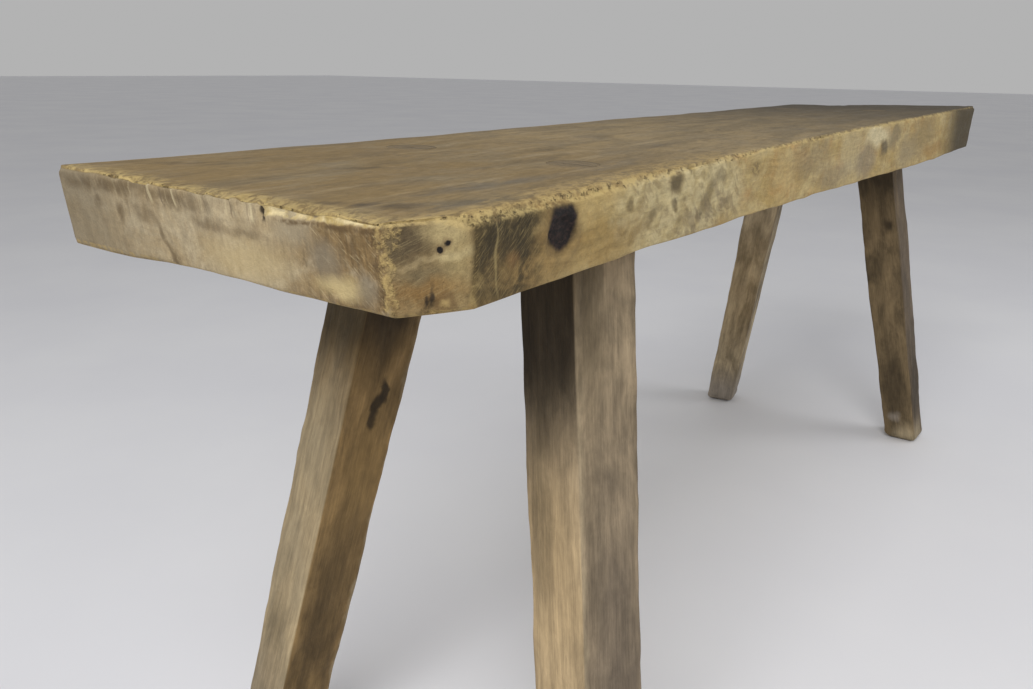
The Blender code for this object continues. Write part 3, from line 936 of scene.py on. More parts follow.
def slab_finish(colours):
    """Old slab wood: ochre sides, greyed top, pale sawn end, burr, knots, cracks and stains."""
    wood = Finish("slab wood")
    place = wood.place()
    x, y, _ = wood.parts(place)
    facing_x, _, facing_z = wood.parts(wood.attribute("facing"))
    from_end, from_front, depth = wood.parts(wood.attribute("reach"))
    ridge, _, _ = wood.parts(wood.attribute("corner"))
    top = facing_z.rise(0.60, 0.92)
    end = facing_x.rise(-0.45, -0.85)
    top_arris = facing_z.rise(0.05, 0.45) * facing_z.rise(1.0, 0.85)
    low_arris = facing_z.rise(-0.05, -0.35)

    side, side_height = side_wood(wood, colours, place, x)
    flat, flat_height = top_wood(wood, colours, place, from_front, from_end, x)
    sawn, sawn_height = end_wood(wood, colours, place, y, depth)
    clip, clip_height = clip_wood(wood, colours, place)
    clipped = ridge.rise(1.04, 0.96)
    sawn = wood.mix(clipped, sawn, clip)
    sawn_height = sawn_height + (clip_height - sawn_height) * clipped

    colour = wood.mix(end, side, sawn)
    crumb = wood.noise(place, (190, 190, 190), 6.0, 0.72)
    rim = crumb.rise(0.40, 0.58)
    # A rough bright line along the ridge between the end and the clip: painted highlight on that arris, over
    # its rough relief.
    ragged = ridge + (wood.noise(place, (70, 70, 70), 5.0, 0.7) - 0.5) * 0.9 - 1.04
    arris = abs(ragged).rise(0.17, 0.05) * end
    colour = wood.mix(arris * crumb.rise(0.36, 0.60) * 0.85, colour, (0.45, 0.325, 0.130))
    beside = ragged.rise(0.10, 0.20) * ragged.rise(0.42, 0.24) * end
    colour = wood.mix(beside * crumb.rise(0.52, 0.60) * 0.75, colour, (0.085, 0.052, 0.022))
    colour = wood.mix(low_arris * rim * 0.60, colour, (0.40, 0.28, 0.105))
    colour = wood.mix(top, colour, flat)
    speckle = wood.noise(place, (120, 150, 150), 6.0, 0.70)
    # Pale speckle along the rounded top edges: worn wood, partly a painted highlight on the rounding.
    colour = wood.mix(top_arris * speckle.rise(0.42, 0.60) * 0.70 * (1 - end), colour, (0.47, 0.355, 0.150))
    colour = wood.mix(top_arris * speckle.rise(0.50, 0.36) * 0.60 * (1 - end), colour, (0.200, 0.135, 0.055))
    pit = wood.noise(place, (210, 260, 260), 5.0, 0.68).rise(0.58, 0.66) * top_arris * (1 - end)
    colour = wood.mix(pit * 0.42, colour, (0.110, 0.072, 0.032))
    # Pale speckle along the clip's top rim: worn wood, partly a painted highlight on the rounding.
    clip_rim = facing_z.rise(0.0, 0.25) * facing_z.rise(1.0, 0.9) * clipped * end
    colour = wood.mix(clip_rim * speckle.rise(0.38, 0.58) * 0.80, colour, (0.46, 0.345, 0.150))
    # Painted shade: the sides and the end darken steeply towards the plain end, the top much less, for the
    # light that falls off there.
    far = x.rise(0.46, 0.62) * (1 - top * 0.75)
    colour = wood.mix(far * 0.92, colour, (0.046, 0.036, 0.020))

    height = side_height + (sawn_height - side_height) * end
    height = height + (flat_height - height) * top + pit * -0.7 + crumb * (0.2 + arris * 0.8)
    shine = 0.70 - wood.noise(place, (40, 40, 40), 4.0).rise(0.45, 0.7) * 0.12
    return wood.finish(colour, shine, height, 0.0018)


def side_wood(wood, colours, place, x):
    """The long sides: golden wood with a dead knot, a burr full of eyes, and stained ends.

    The ovals reach through the plank, so the back side shows the same marks as the front.
    """
    moved = wood.warp(place, 55.0, 0.012)
    loose = wood.warp(place, 22.0, 0.040)
    cloud = wood.noise(place, (16, 16, 30), 5.0, 0.60, 0.6)
    blotch = wood.noise(wood.warp(place, 30.0, 0.02), (46, 46, 70), 5.0, 0.66, 0.6)
    fine = wood.noise(place, (150, 150, 210), 6.0, 0.72, 0.4)
    grain = wood.noise(wood.warp(place, 9.0, 0.03), (16, 150, 320), 6.0, 0.68)
    tint = wood.mix(cloud.rise(0.34, 0.66), colours.ochre, colours.pale)
    tint = wood.mix(blotch.rise(0.46, 0.70) * 0.60, tint, (0.275, 0.180, 0.070))
    orange = wood.noise(place, (24, 24, 50), 5.0, 0.6).rise(0.52, 0.68)
    tint = wood.mix(orange * 0.50, tint, (0.37, 0.205, 0.065))

    burr = wood.spot(loose, *on_front((-0.435, 0.028), (0.115, 0.036)), soft=0.25)
    milky = wood.noise(place, (60, 60, 70), 5.0, 0.62, 0.8)
    knotty = wood.mix(milky.rise(0.38, 0.62), (0.350, 0.274, 0.130), (0.48, 0.398, 0.220))
    leaning = (0.0, 0.62, 0.0)
    slanted = wood.local(wood.warp(place, 26.0, 0.030), ORIGIN, (0.030, 0.012, 0.0070), leaning)
    vein = wood.noise_on(slanted, 4.0, 0.6)
    knotty = wood.mix(vein.rise(0.52, 0.66) * 0.60, knotty, (0.215, 0.165, 0.085))
    cluster = wood.noise(place, (36, 36, 44), 3.0, 0.5).rise(0.42, 0.60)
    eyes = wood.cells(wood.warp(place, 70.0, 0.011), (46, 30, 115)).rise(0.38, 0.10)
    knotty = wood.mix(eyes * cluster * 0.70, knotty, EYE_BROWN)
    tint = wood.mix(burr * 0.88, tint, knotty)
    for middle, radii, turn, share in BURR_EYES:
        eye = wood.distance(moved, *on_front(middle, radii, turn))
        tint = wood.mix(eye.rise(3.0, 1.7) * eye.rise(1.1, 1.7) * share * 0.5, tint, (0.56, 0.47, 0.26))
        tint = wood.mix(eye.rise(1.5, 0.5) * share, tint, EYE_BROWN)
    fan = ((-0.385, 0.045), (0.050, 0.018), 0.0, 0.6, (0.185, 0.140, 0.082), 0.55)
    tint = wood.stains(tint, on_front, loose, (fan,), vein.rise(0.40, 0.60))
    notch = ((-0.421, 0.004), (0.0040, 0.0085), 0.9, 0.35, (0.055, 0.036, 0.018), 0.90)
    tint = wood.stains(tint, on_front, moved, (notch,))
    curl = ((-0.2926, 0.017), (0.012, 0.0055), 0.0, 0.6, (0.125, 0.085, 0.038), 0.75)
    tint = wood.stains(tint, on_front, moved, (curl,), fine.rise(0.42, 0.54))
    tint = wood.stains(tint, on_front, loose, FRONT_AREAS)

    stained = x.rise(-0.578, -0.640)
    grime = wood.noise(place, (44, 44, 44), 6.0, 0.66, 0.8)
    tint = wood.mix(stained * grime.rise(0.28, 0.56) * 0.92, tint, (0.118, 0.076, 0.027))
    olive = ((-0.660, 0.023), (0.035, 0.032), 0.0, 0.5, (0.034, 0.025, 0.011), 0.96)
    tint = wood.stains(tint, on_front, moved, (olive,), grime.rise(0.20, 0.50))
    warm = ((-0.636, 0.038), (0.036, 0.014), 0.0, 0.7, (0.26, 0.165, 0.058), 0.75)
    tint = wood.stains(tint, on_front, loose, (warm,), grime.rise(0.64, 0.40))
    dot = ((-0.655, 0.0330), (0.0050, 0.0036), 0.0, 0.8, (0.26, 0.135, 0.048), 0.45)
    tint = wood.stains(tint, on_front, moved, (dot,))
    worn = x.rise(-0.40, -0.60)
    bright = wood.scratches(place, (0.0, -0.62, 0.0), 0.012, 0.00070, 0.50, 0.68)
    tint = wood.mix(bright * worn * 0.28, tint, (0.38, 0.280, 0.115))
    steep = wood.scratches(place, (0.0, -1.25, 0.0), 0.009, 0.00080, 0.52, 0.70)
    tint = wood.mix(steep * worn * 0.16, tint, (0.34, 0.245, 0.100))
    tint = wood.vary(wood.vary(tint, grain, 0.80), fine, 1.00)
    line = ((-0.6706, 0.030), (0.0011, 0.018), 0.04, 0.8, (0.38, 0.29, 0.125), 0.50)
    tint = wood.stains(tint, on_front, moved, (line,))

    ragged = wood.warp(wood.warp(place, 70.0, 0.0065), 260.0, 0.0018)
    knot = wood.distance(ragged, *on_front((-0.6062, 0.0240), (0.0146, 0.0122), 0.35))
    tip = wood.distance(ragged, *on_front((-0.5970, 0.0185), (0.0066, 0.0056), -0.5))
    tint = wood.mix(knot.rise(1.9, 1.0) * 0.55, tint, (0.15, 0.095, 0.038))
    core = knot.rise(1.20, 0.84).highest(tip.rise(1.5, 0.6))
    char = wood.noise(wood.warp(place, 60.0, 0.006), (190, 190, 420), 5.0, 0.7)
    charred = wood.mix(char.rise(0.42, 0.68), (0.0070, 0.0050, 0.0042), (0.034, 0.019, 0.015))
    tint = wood.mix(core, tint, charred)
    return tint, grain * 0.35 + fine * 0.5


def top_wood(wood, colours, place, from_front, from_end, x):
    """The top: grey-tan with long streaks, golden and pitted where hands wore the front edge."""
    bent = wood.warp(place, 7.0, 0.012)
    long = wood.noise(bent, (6, 62, 50), 5.0, 0.64)
    broad = wood.noise(place, (11, 26, 18), 4.0, 0.60, 0.5)
    dirt = wood.noise(bent, (22, 88, 60), 6.0, 0.68, 0.5)
    fine = wood.noise(place, (100, 420, 420), 5.0, 0.7)
    tint = wood.mix(broad.rise(0.34, 0.66), colours.grey, (0.245, 0.180, 0.090))
    near = x.rise(-0.25, -0.55)
    tint = wood.mix(near * broad.rise(0.26, 0.60) * 0.80, tint, (0.165, 0.110, 0.044))
    tint = wood.mix(long.rise(0.50, 0.70) * 0.50, tint, (0.115, 0.085, 0.044))
    tint = wood.mix(long.rise(0.48, 0.30) * 0.45, tint, (0.300, 0.232, 0.132))
    tint = wood.mix(dirt.rise(0.50, 0.68) * 0.42, tint, (0.090, 0.065, 0.034))
    gold = from_front.rise(0.034, 0.004) * x.rise(-0.20, -0.50)
    speck = wood.noise(place, (120, 180, 200), 6.0, 0.72, 0.5)
    tint = wood.mix(gold * speck.rise(0.38, 0.58) * 0.75, tint, (0.37, 0.265, 0.105))
    tint = wood.mix(gold * speck.rise(0.56, 0.66) * 0.80, tint, (0.095, 0.062, 0.028))
    rub = from_end.rise(0.022, 0.002)
    tint = wood.mix(rub * speck.rise(0.40, 0.58) * 0.65, tint, (0.42, 0.315, 0.130))
    tint = wood.stains(tint, on_top, wood.warp(place, 45.0, 0.020), TOP_MARKS, dirt.rise(0.34, 0.54))
    tint = wood.vary(wood.vary(tint, fine, 1.00), speck, 0.50)
    # Painted shade: the top darkens evenly towards the plain end, for the light that falls off there.
    far = x.rise(-0.30, 0.70)
    tint = wood.mix(far * 0.84, tint, (0.052, 0.043, 0.030))
    return tint, long * 0.15 + speck * 0.25 + fine * 0.2


def end_wood(wood, colours, place, y, depth):
    """The sawn end: pale, striped up and down, brown to the front, scratched and cracked."""
    down = wood.noise(wood.warp(place, 20.0, 0.006), (170, 170, 24), 6.0, 0.68, 0.3)
    cloud = wood.noise(place, (30, 30, 40), 5.0, 0.62, 0.7)
    blotch = wood.noise(wood.warp(place, 45.0, 0.014), (75, 75, 60), 5.0, 0.66)
    fine = wood.noise(place, (300, 300, 260), 6.0, 0.74)
    tint = wood.mix(cloud.rise(0.34, 0.66), colours.sawn, (0.315, 0.240, 0.135))
    tint = wood.mix(blotch.rise(0.50, 0.70) * 0.45, tint, (0.225, 0.160, 0.085))
    brown = y.rise(-0.030, -0.085)
    tint = wood.mix(brown * cloud.rise(0.26, 0.54) * 0.90, tint, (0.165, 0.102, 0.038))
    tint = wood.mix(brown * blotch.rise(0.46, 0.66) * 0.60, tint, (0.100, 0.062, 0.026))
    stripe = wood.noise(wood.warp(place, 25.0, 0.004), (640, 640, 60), 5.0, 0.68)
    tint = wood.shade(tint, 1.0 + (stripe - 0.5) * (0.5 + brown * 1.1))
    tint = wood.vary(wood.vary(tint, down, 0.75), fine, 0.85)
    left = y.rise(0.045, 0.125)
    tint = wood.mix(left * 0.62, tint, (0.140, 0.112, 0.072))
    pale = wood.scratches(place, (0.0, -0.75, 1.5708), 0.012, 0.00070, 0.54, 0.74)
    tint = wood.mix(pale * (0.12 + brown * 0.33), tint, (0.50, 0.405, 0.235))
    moved = wood.warp(place, 75.0, 0.009)
    tint = wood.stains(tint, on_end, moved, END_AREAS)
    tint = wood.stains(tint, on_end, moved, END_SPOTS, blotch.rise(0.28, 0.50))

    arcs = y + depth * depth * 18.0 + (blotch - 0.5) * 0.004
    rib = wood.noise(wood.node("ShaderNodeCombineXYZ", None, {0: arcs}), (200, 1, 1), 3.0, 0.6)
    ribbed = y.rise(-0.044, -0.032) * y.rise(0.110, 0.050) * depth.rise(0.0135, 0.0090)
    tint = wood.mix(ribbed * rib.rise(0.54, 0.66) * 0.75, tint, (0.150, 0.110, 0.065))
    tint = wood.mix(ribbed * rib.rise(0.47, 0.36) * 0.70, tint, (0.52, 0.435, 0.265))
    limit = (y + 0.034) * 0.050 + 0.0072 + (blotch - 0.5) * 0.006
    past = depth - limit
    worn = y.rise(-0.033, -0.041) * past.rise(0.0007, -0.0007)
    cream = wood.mix(blotch.rise(0.40, 0.60), (0.62, 0.51, 0.285), (0.41, 0.300, 0.115))
    cream = wood.mix(cloud.rise(0.52, 0.62) * 0.7, cream, (0.225, 0.190, 0.140))
    tint = wood.mix(worn * 0.92, tint, wood.vary(cream, fine, 1.1))
    under = y.rise(-0.040, -0.052) * past.rise(0.0, 0.0012)
    under = under * past.rise(0.0038, 0.0018) * blotch.rise(0.40, 0.54)
    tint = wood.mix(under * 0.80, tint, (0.095, 0.058, 0.024))
    hollow = ((-0.066, 0.0050), (0.0125, 0.0020), 0.0, 0.5, (0.105, 0.080, 0.062), 0.85)
    tint = wood.stains(tint, on_end, moved, (hollow,))
    crack = abs(arcs + 0.0350).rise(0.0018, 0.0007) * depth.rise(0.0120, 0.0085)
    tint = wood.mix(crack * 0.95, tint, colours.dark)
    return tint, down * 0.40 + blotch * 0.5 + fine * 0.35


def clip_wood(wood, colours, place):
    """The clipped corner: dark and rubbed above, pale round two small holes, orange below."""
    moved = wood.warp(place, 70.0, 0.014)
    cloud = wood.noise(place, (70, 70, 70), 6.0, 0.66, 0.8)
    fine = wood.noise(place, (260, 260, 260), 6.0, 0.74)
    tint = wood.mix(cloud.rise(0.34, 0.64), (0.240, 0.165, 0.072), (0.150, 0.098, 0.042))
    tint = wood.stains(tint, on_clip, moved, CLIP_AREAS)
    tint = wood.vary(tint, fine, 1.3)
    tint = wood.mix(fine.rise(0.58, 0.68) * 0.5, tint, (0.080, 0.052, 0.024))
    streak = wood.scratches(place, (0.0, -0.35, -0.42), 0.011, 0.00070, 0.50, 0.70)
    tint = wood.mix(streak * 0.20, tint, (0.42, 0.33, 0.165))
    tint = wood.stains(tint, on_clip, moved, CLIP_LINE)
    ring = wood.distance(moved, *on_clip((-0.7030, -0.1276, 0.0475), (0.0026, 0.0026)))
    tint = wood.mix(ring.rise(2.6, 1.4) * 0.60, tint, (0.130, 0.075, 0.028))
    tint = wood.mix(ring.rise(1.4, 0.3) * 0.62, tint, (0.43, 0.310, 0.125))
    for middle, radii in CLIP_CHIPS:
        tint = wood.mix(wood.spot(moved, *on_clip(middle, radii), soft=0.6) * 0.9, tint, colours.dark)
    bent = wood.warp(place, 220.0, 0.0022)
    for middle, radii in CLIP_HOLES:
        away = wood.distance(bent, *on_clip(middle, radii))
        tint = wood.mix(away.rise(2.4, 1.0) * 0.55, tint, (0.135, 0.085, 0.042))
        tint = wood.mix(away.rise(1.25, 0.85), tint, (0.008, 0.005, 0.004))
    return tint, fine * 0.6 + cloud * 0.6


# Marks of each leg: its stains, painted shade at its top just under the slab, and painted highlights along
# some arrises. Each row: face, colour, share, middle and radii as (across, up), softness.
# "u" is the face towards -u, "v" the one towards -v; across is measured from the leg's
# middle and up along the leg from its foot.
# This near-black tone paints cracks and dark spots, and also painted shade under the slab at the top of each
# leg.
DARK_MARKS_AND_SHADE = (0.018, 0.012, 0.006)
OLIVE = (0.065, 0.048, 0.024)
BROWN = (0.105, 0.068, 0.029)
GOLD = (0.235, 0.150, 0.056)
STRAW = (0.400, 0.325, 0.205)
SAND = (0.460, 0.335, 0.185)
MAUVE = (0.115, 0.090, 0.068)
ASH = (0.270, 0.232, 0.190)
LEG_STAINS_AND_PAINTED_LIGHT = {
    "clipped_end_back": (
        ("u", STRAW, 0.64, (0.0, 0.200), (0.060, 0.205), 0.30),
        ("u", OLIVE, 0.50, (0.004, 0.150), (0.014, 0.030), 0.90),
        ("u", MAUVE, 0.50, (0.0, 0.050), (0.040, 0.060), 0.80),
        # Painted shade: a broad dark patch at the top of this face, just under the slab.
        ("u", OLIVE, 0.85, (0.0, 0.490), (0.080, 0.080), 0.35),
        ("v", GOLD, 0.55, (0.004, 0.310), (0.018, 0.055), 0.80),
        ("v", BROWN, 0.60, (0.0, 0.220), (0.026, 0.060), 0.80),
        ("v", DARK_MARKS_AND_SHADE, 0.50, (-0.006, 0.150), (0.020, 0.045), 0.90),
        # Painted shade: a broad dark patch at the top of this face, just under the slab.
        ("v", DARK_MARKS_AND_SHADE, 0.90, (-0.010, 0.490), (0.040, 0.080), 0.50),
        # Painted highlight: a thin pale stripe along the arris at the edge of this face.
        ("v", STRAW, 0.45, (0.027, 0.220), (0.004, 0.220), 0.60),
        ("v", DARK_MARKS_AND_SHADE, 0.90, (0.0045, 0.384), (0.0040, 0.012), 0.40),
        ("v", DARK_MARKS_AND_SHADE, 0.90, (0.0005, 0.372), (0.0040, 0.010), 0.40),
        ("v", DARK_MARKS_AND_SHADE, 0.85, (0.0025, 0.358), (0.0036, 0.009), 0.50),
    ),
    "clipped_end_front": (
        ("u", SAND, 0.80, (0.004, 0.285), (0.040, 0.085), 0.60),
        ("u", BROWN, 0.25, (-0.008, 0.290), (0.014, 0.030), 0.90),
        ("u", OLIVE, 0.50, (0.012, 0.340), (0.012, 0.080), 0.80),
        ("u", SAND, 0.70, (0.0, 0.100), (0.040, 0.150), 0.60),
        # Painted shade: a broad dark patch at the top of this face, just under the slab.
        ("u", DARK_MARKS_AND_SHADE, 0.88, (0.0, 0.495), (0.080, 0.100), 0.45),
        ("v", OLIVE, 0.60, (-0.016, 0.480), (0.012, 0.060), 0.80),
        ("v", MAUVE, 0.70, (0.006, 0.170), (0.034, 0.170), 0.80),
        # Painted highlight: a thin pale stripe along the arris at the edge of this face.
        ("v", STRAW, 0.25, (-0.0285, 0.190), (0.0040, 0.240), 0.50),
    ),
    "plain_end_back": (
        # Painted shade: broad dark patches at the top of both faces, just under the slab.
        ("u", DARK_MARKS_AND_SHADE, 0.50, (0.0, 0.490), (0.080, 0.050), 0.70),
        ("v", DARK_MARKS_AND_SHADE, 0.60, (0.0, 0.480), (0.080, 0.080), 0.70),
        ("u", GOLD, 0.45, (0.0, 0.260), (0.040, 0.120), 0.80),
        ("u", ASH, 0.95, (0.0, 0.0), (0.080, 0.060), 0.60),
        ("v", ASH, 0.95, (0.0, 0.0), (0.080, 0.060), 0.60),
    ),
    "plain_end_front": (
        # Painted shade: a broad dark patch at the top of this face, just under the slab.
        ("u", DARK_MARKS_AND_SHADE, 0.55, (0.0, 0.490), (0.080, 0.050), 0.70),
        ("u", DARK_MARKS_AND_SHADE, 0.80, (-0.0125, 0.401), (0.007, 0.012), 0.70),
        ("u", DARK_MARKS_AND_SHADE, 0.60, (0.004, 0.120), (0.020, 0.070), 0.80),
        ("v", MAUVE, 0.65, (0.0, 0.240), (0.040, 0.320), 0.60),
        ("v", DARK_MARKS_AND_SHADE, 0.60, (0.0, 0.110), (0.030, 0.070), 0.80),
        ("u", ASH, 0.60, (0.006, 0.052), (0.009, 0.009), 0.70),
        ("u", STRAW, 0.60, (-0.012, 0.0), (0.024, 0.034), 0.60),
        ("v", STRAW, 0.55, (-0.012, 0.0), (0.024, 0.034), 0.60),
    ),
}
LEG_TONES = {
    "clipped_end_back": (0.180, 0.115, 0.047),
    "clipped_end_front": (0.220, 0.168, 0.105),
    "plain_end_back": (0.325, 0.258, 0.163),
    "plain_end_front": (0.135, 0.096, 0.050),
}


def leg_finish(place, number):
    """Hewn leg wood: long grain along the leg, its own stains, painted shade under the slab, painted
    highlights on some arrises, and rings on its tenon's end.
    """
    wood = Finish("leg wood " + place)
    grain = wood.attribute("grain")
    u, v, _ = wood.parts(grain)
    crown, _, _ = wood.parts(wood.attribute("crown"))
    bevel = 0.0015
    masks = {"u": (0.0 - u - abs(v)).rise(-bevel, bevel), "v": (0.0 - v - abs(u)).rise(-bevel, bevel)}
    moved = wood.stretch(grain, (1, 1, 1), (number * 0.37, number * 0.53, number * 0.71))
    streak = wood.noise(wood.warp(moved, 10.0, 0.012), (130, 130, 8), 6.0, 0.66)
    broad = wood.noise(moved, (30, 30, 12), 5.0, 0.62, 0.5)
    mottle = wood.noise(moved, (70, 70, 36), 6.0, 0.70, 0.5)
    fibre = wood.noise(moved, (700, 700, 40), 6.0, 0.72)
    base = LEG_TONES[place]
    light, deep = (tuple(value * share for value in base) for share in (1.40, 0.62))
    colour = wood.mix(broad.rise(0.34, 0.66), deep, light)
    soft_place = wood.warp(wood.warp(grain, 30.0, 0.018), 110.0, 0.005)
    for face, tone, amount, centre, radii, soft in LEG_STAINS_AND_PAINTED_LIGHT[place]:
        middle = (0.0, *centre) if face == "u" else (centre[0], 0.0, centre[1])
        spread = (1.0, *radii) if face == "u" else (radii[0], 1.0, radii[1])
        mask = wood.spot(soft_place, middle, spread, soft=soft)
        colour = wood.mix(mask * masks[face] * amount, colour, tone)
    colour = wood.vary(wood.vary(wood.vary(colour, streak, 1.3), mottle, 0.9), fibre, 0.9)
    rings = wood.cells(wood.warp(grain, 90.0, 0.004), (500, 90, 90)).rise(0.0, 0.6)
    colour = wood.mix(crown, colour, wood.mix(rings, (0.098, 0.073, 0.041), (0.160, 0.119, 0.067)))
    shine = 0.74 - mottle.rise(0.45, 0.70) * 0.10
    height = fibre * 0.30 + streak * 0.6 + broad * 0.3 + mottle * 0.3
    return wood.finish(colour, shine, height, 0.0012)


def wedge_finish():
    """The wedge's end grain: dark, dry and rubbed flush."""
    wood = Finish("wedge wood")
    place = wood.place()
    streak = wood.noise(place, (500, 90, 500), 4.0, 0.6)
    colour = wood.mix(streak.rise(0.35, 0.7), (0.165, 0.124, 0.071), (0.086, 0.063, 0.035))
    return wood.finish(colour, 0.6 + streak * 0.2, streak, 0.0006)


def dress(piece, material, node):
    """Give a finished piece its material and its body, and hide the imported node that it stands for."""
    piece.data.materials.clear()
    piece.data.materials.append(material)
    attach(piece, "root")
    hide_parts(node)


def leg_lines(scene):
    """The slab's form, and for each leg its place, centre line, turn, width and foot shares."""
    form = SlabForm(scene.bench_slab)
    return form, [
        (place, LegLine(form, scene.bench_legs, end, side), degrees, width, foot)
        for place, end, side, degrees, width, foot in LEG_PLACES
    ]


class BENCH_OT_slab(Operator):
    """Build the worn plank with its four mortises"""

    bl_idname = "bench.slab"
    bl_label = "Slab"

    def execute(self, context):
        scene = context.scene
        sizes = scene.bench_legs
        form, legs = leg_lines(scene)
        joints = [line.crossing(surface) for _, line, *_ in legs for surface in (form.top, form.under)]
        slab = make_slab_mesh(form, joints)
        angle = np.arange(BORE_SIDES) / BORE_SIDES * math.tau
        radius = sizes.tenon / 2 + sizes.gap
        u, v = radius * np.cos(angle), radius * np.sin(angle)
        bores = []
        for place, line, *_ in legs:
            axes = line.axes(0.0)
            rings = [
                line.meet(u, v, axes, form.under, -OVERRUN),
                line.meet(u, v, axes, form.top, OVERRUN),
            ]
            bores.append(ringed_solid("bore_" + place, rings))
        cut(slab, bores)
        mark_bores(slab.data, radius)
        dress(slab, slab_finish(scene.bench_colours), "seat_slab")
        return {"FINISHED"}


class BENCH_OT_legs(Operator):
    """Build the four hewn legs with their kerfed tenons"""

    bl_idname = "bench.legs"
    bl_label = "Legs"

    def execute(self, context):
        scene = context.scene
        sizes = scene.bench_legs
        _, legs = leg_lines(scene)
        for number, (place, line, degrees, width, foot) in enumerate(legs):
            seed = 200 + 40 * number
            leg = make_leg_mesh(place, line, sizes, degrees, width, foot, seed)
            kerf = wedge_rings(line, sizes, sizes.gap, OVERRUN, OVERRUN)
            cut(leg, [ringed_solid("kerf_" + place, kerf)])
            dress(leg, leg_finish(place, number), "leg_" + place)
        return {"FINISHED"}


class BENCH_OT_wedges(Operator):
    """Drive a wedge into each tenon"""

    bl_idname = "bench.wedges"
    bl_label = "Wedges"

    def execute(self, context):
        scene = context.scene
        material = wedge_finish()
        _, legs = leg_lines(scene)
        for place, line, *_ in legs:
            rings = wedge_rings(line, scene.bench_legs, 0.0, 0.0, 0.0)
            wedge = ringed_solid("wedge_block_" + place, rings)
            wedge.data.shade_flat()
            dress(wedge, material, "wedge_" + place)
        return {"FINISHED"}


class StageSettings(PropertyGroup):
    """The camera's place, the lamps and the even light."""

    camera_place: place_value("Camera", (-1.030, -0.378, 0.622), "Where the camera stands")
    yaw: angle_value("Yaw", 32.70, "Turn from +X towards +Y")
    pitch: angle_value("Pitch", 17.52, "Downward tilt")
    roll: angle_value("Roll", 0.89, "Turn about the view")
    focal_pixels: FloatProperty(name="Focal length", description="In pixels of the picture", default=888.0)
    picture_width: IntProperty(name="Picture width", description="In pixels", default=1033)
    key: power_value("Key", 64.0, "Power of the lamp on the left")
    fill: power_value("Fill", 26.0, "Power of the lamp on the right")
    key_place: place_value("Key place", (-2.2, -0.6, 2.2), "Where the lamp on the left hangs")
    fill_place: place_value("Fill place", (1.2, -2.6, 2.0), "Where the lamp on the right hangs")
    key_size: length_value("Key size", 1.6, "Side of the lamp on the left")
    fill_size: length_value("Fill size", 1.8, "Side of the lamp on the right")
    lamp_aim: place_value("Lamp aim", (0.0, 0.0, 0.35), "The point that both lamps face")
    sky: FloatProperty(name="Sky", description="Strength of the even light from all round", default=0.45)


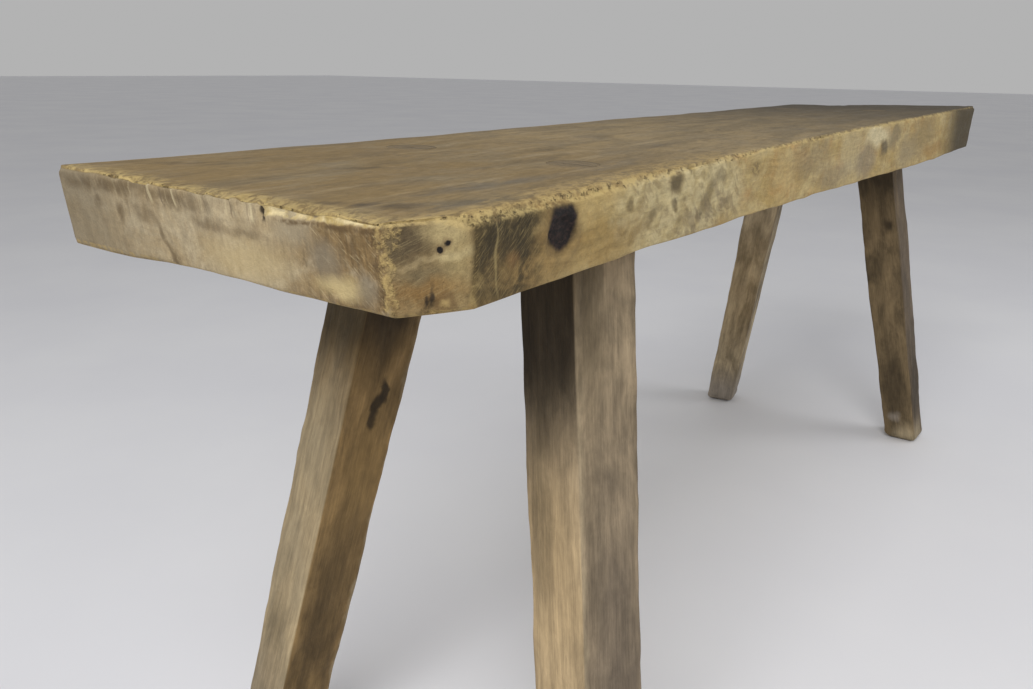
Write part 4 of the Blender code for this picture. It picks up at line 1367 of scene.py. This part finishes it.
class BENCH_OT_stage(Operator):
    """Lay the plain floor and set the lamps and the camera"""

    bl_idname = "bench.stage"
    bl_label = "Stage"

    def execute(self, context):
        scene = context.scene
        stage = scene.bench_stage
        scene.view_settings.view_transform = "Standard"
        self.add_floor(scene)
        self.add_lamp("key lamp", stage.key_place, stage.lamp_aim, stage.key_size, stage.key)
        self.add_lamp("fill lamp", stage.fill_place, stage.lamp_aim, stage.fill_size, stage.fill)
        self.add_world(scene, stage.sky)
        self.add_camera(scene, stage)
        return {"FINISHED"}

    def add_floor(self, scene):
        """A wide flat floor, painted in a pale and nearly even tone."""
        paint = Finish("floor paint")
        place = paint.place()
        cloud = paint.noise(place, (1.5, 1.5, 1.5), 4.0)
        tone = paint.mix(cloud.rise(0.3, 0.7), scene.bench_colours.floor, scene.bench_colours.floor_cloud)
        material = paint.finish(tone, 0.55 + cloud * 0.1, cloud, 0.0005)
        side = 30.0
        mesh = bpy.data.meshes.new("floor")
        corners = [(-side, -side, 0), (side, -side, 0), (side, side, 0), (-side, side, 0)]
        mesh.from_pydata(corners, [], [(0, 1, 2, 3)])
        floor = bpy.data.objects.new("floor", mesh)
        floor.data.materials.append(material)
        scene.collection.objects.link(floor)

    def add_lamp(self, name, place, aim, size, power):
        """A square soft lamp aimed at a point."""
        light = bpy.data.lights.new(name, "AREA")
        light.shape = "SQUARE"
        light.size = size
        light.energy = power
        lamp = bpy.data.objects.new(name, light)
        lamp.location = place
        lamp.rotation_euler = (Vector(aim) - Vector(place)).to_track_quat("-Z", "Y").to_euler()
        bpy.context.scene.collection.objects.link(lamp)

    def add_world(self, scene, strength):
        """An even pale light from all round."""
        world = bpy.data.worlds.new("even light")
        world.use_nodes = True
        background = world.node_tree.nodes["Background"]
        background.inputs["Color"].default_value = (1.0, 1.0, 1.0, 1.0)
        background.inputs["Strength"].default_value = strength
        scene.world = world

    def add_camera(self, scene, stage):
        """A pinhole camera: forward from yaw and pitch, then rolled about it."""
        yaw, pitch, roll = stage.yaw, stage.pitch, stage.roll
        level = math.cos(pitch)
        forward = Vector((math.cos(yaw) * level, math.sin(yaw) * level, -math.sin(pitch)))
        right = Vector((math.sin(yaw), -math.cos(yaw), 0.0))
        up = right.cross(forward)
        rolled_right = right * math.cos(roll) + up * math.sin(roll)
        rolled_up = up * math.cos(roll) - right * math.sin(roll)
        data = bpy.data.cameras.new("camera")
        data.sensor_width = 36.0
        data.lens = stage.focal_pixels / stage.picture_width * data.sensor_width
        data.clip_start = 0.01
        camera = bpy.data.objects.new("camera", data)
        turn = Matrix((rolled_right, rolled_up, -forward)).transposed().to_4x4()
        camera.matrix_world = Matrix.Translation(Vector(stage.camera_place)) @ turn
        scene.collection.objects.link(camera)
        scene.camera = camera


class BENCH_PT_sidebar(Panel):
    """Sizes, colours and the steps that build the bench"""

    bl_idname = "BENCH_PT_sidebar"
    bl_label = "Bench"
    bl_space_type = "VIEW_3D"
    bl_region_type = "UI"
    bl_category = "Bench"

    def draw(self, context):
        for name in ("bench_slab", "bench_legs", "bench_colours", "bench_stage"):
            group = getattr(context.scene, name)
            box = self.layout.box()
            for key in group.bl_rna.properties.keys():
                if key not in {"rna_type", "name"}:
                    box.prop(group, key)
        for step in STEPS:
            self.layout.operator(step.bl_idname)


STEPS = (BENCH_OT_slab, BENCH_OT_legs, BENCH_OT_wedges, BENCH_OT_stage)
GROUPS = {
    "bench_slab": SlabSizes,
    "bench_legs": LegSizes,
    "bench_colours": BenchColours,
    "bench_stage": StageSettings,
}


def register():
    """Register the classes and hang the property groups on the scene."""
    for group in (*GROUPS.values(), *STEPS, BENCH_PT_sidebar):
        bpy.utils.register_class(group)
    for name, group in GROUPS.items():
        setattr(bpy.types.Scene, name, PointerProperty(type=group))


def unregister():
    """Undo what register did."""
    for name in GROUPS:
        delattr(bpy.types.Scene, name)
    for group in reversed((*GROUPS.values(), *STEPS, BENCH_PT_sidebar)):
        bpy.utils.unregister_class(group)


def main():
    """Build the bench and its stage."""
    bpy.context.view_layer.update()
    register()
    bpy.ops.bench.slab()
    bpy.ops.bench.legs()
    bpy.ops.bench.wedges()
    bpy.ops.bench.stage()


if __name__ == "__main__":
    main()
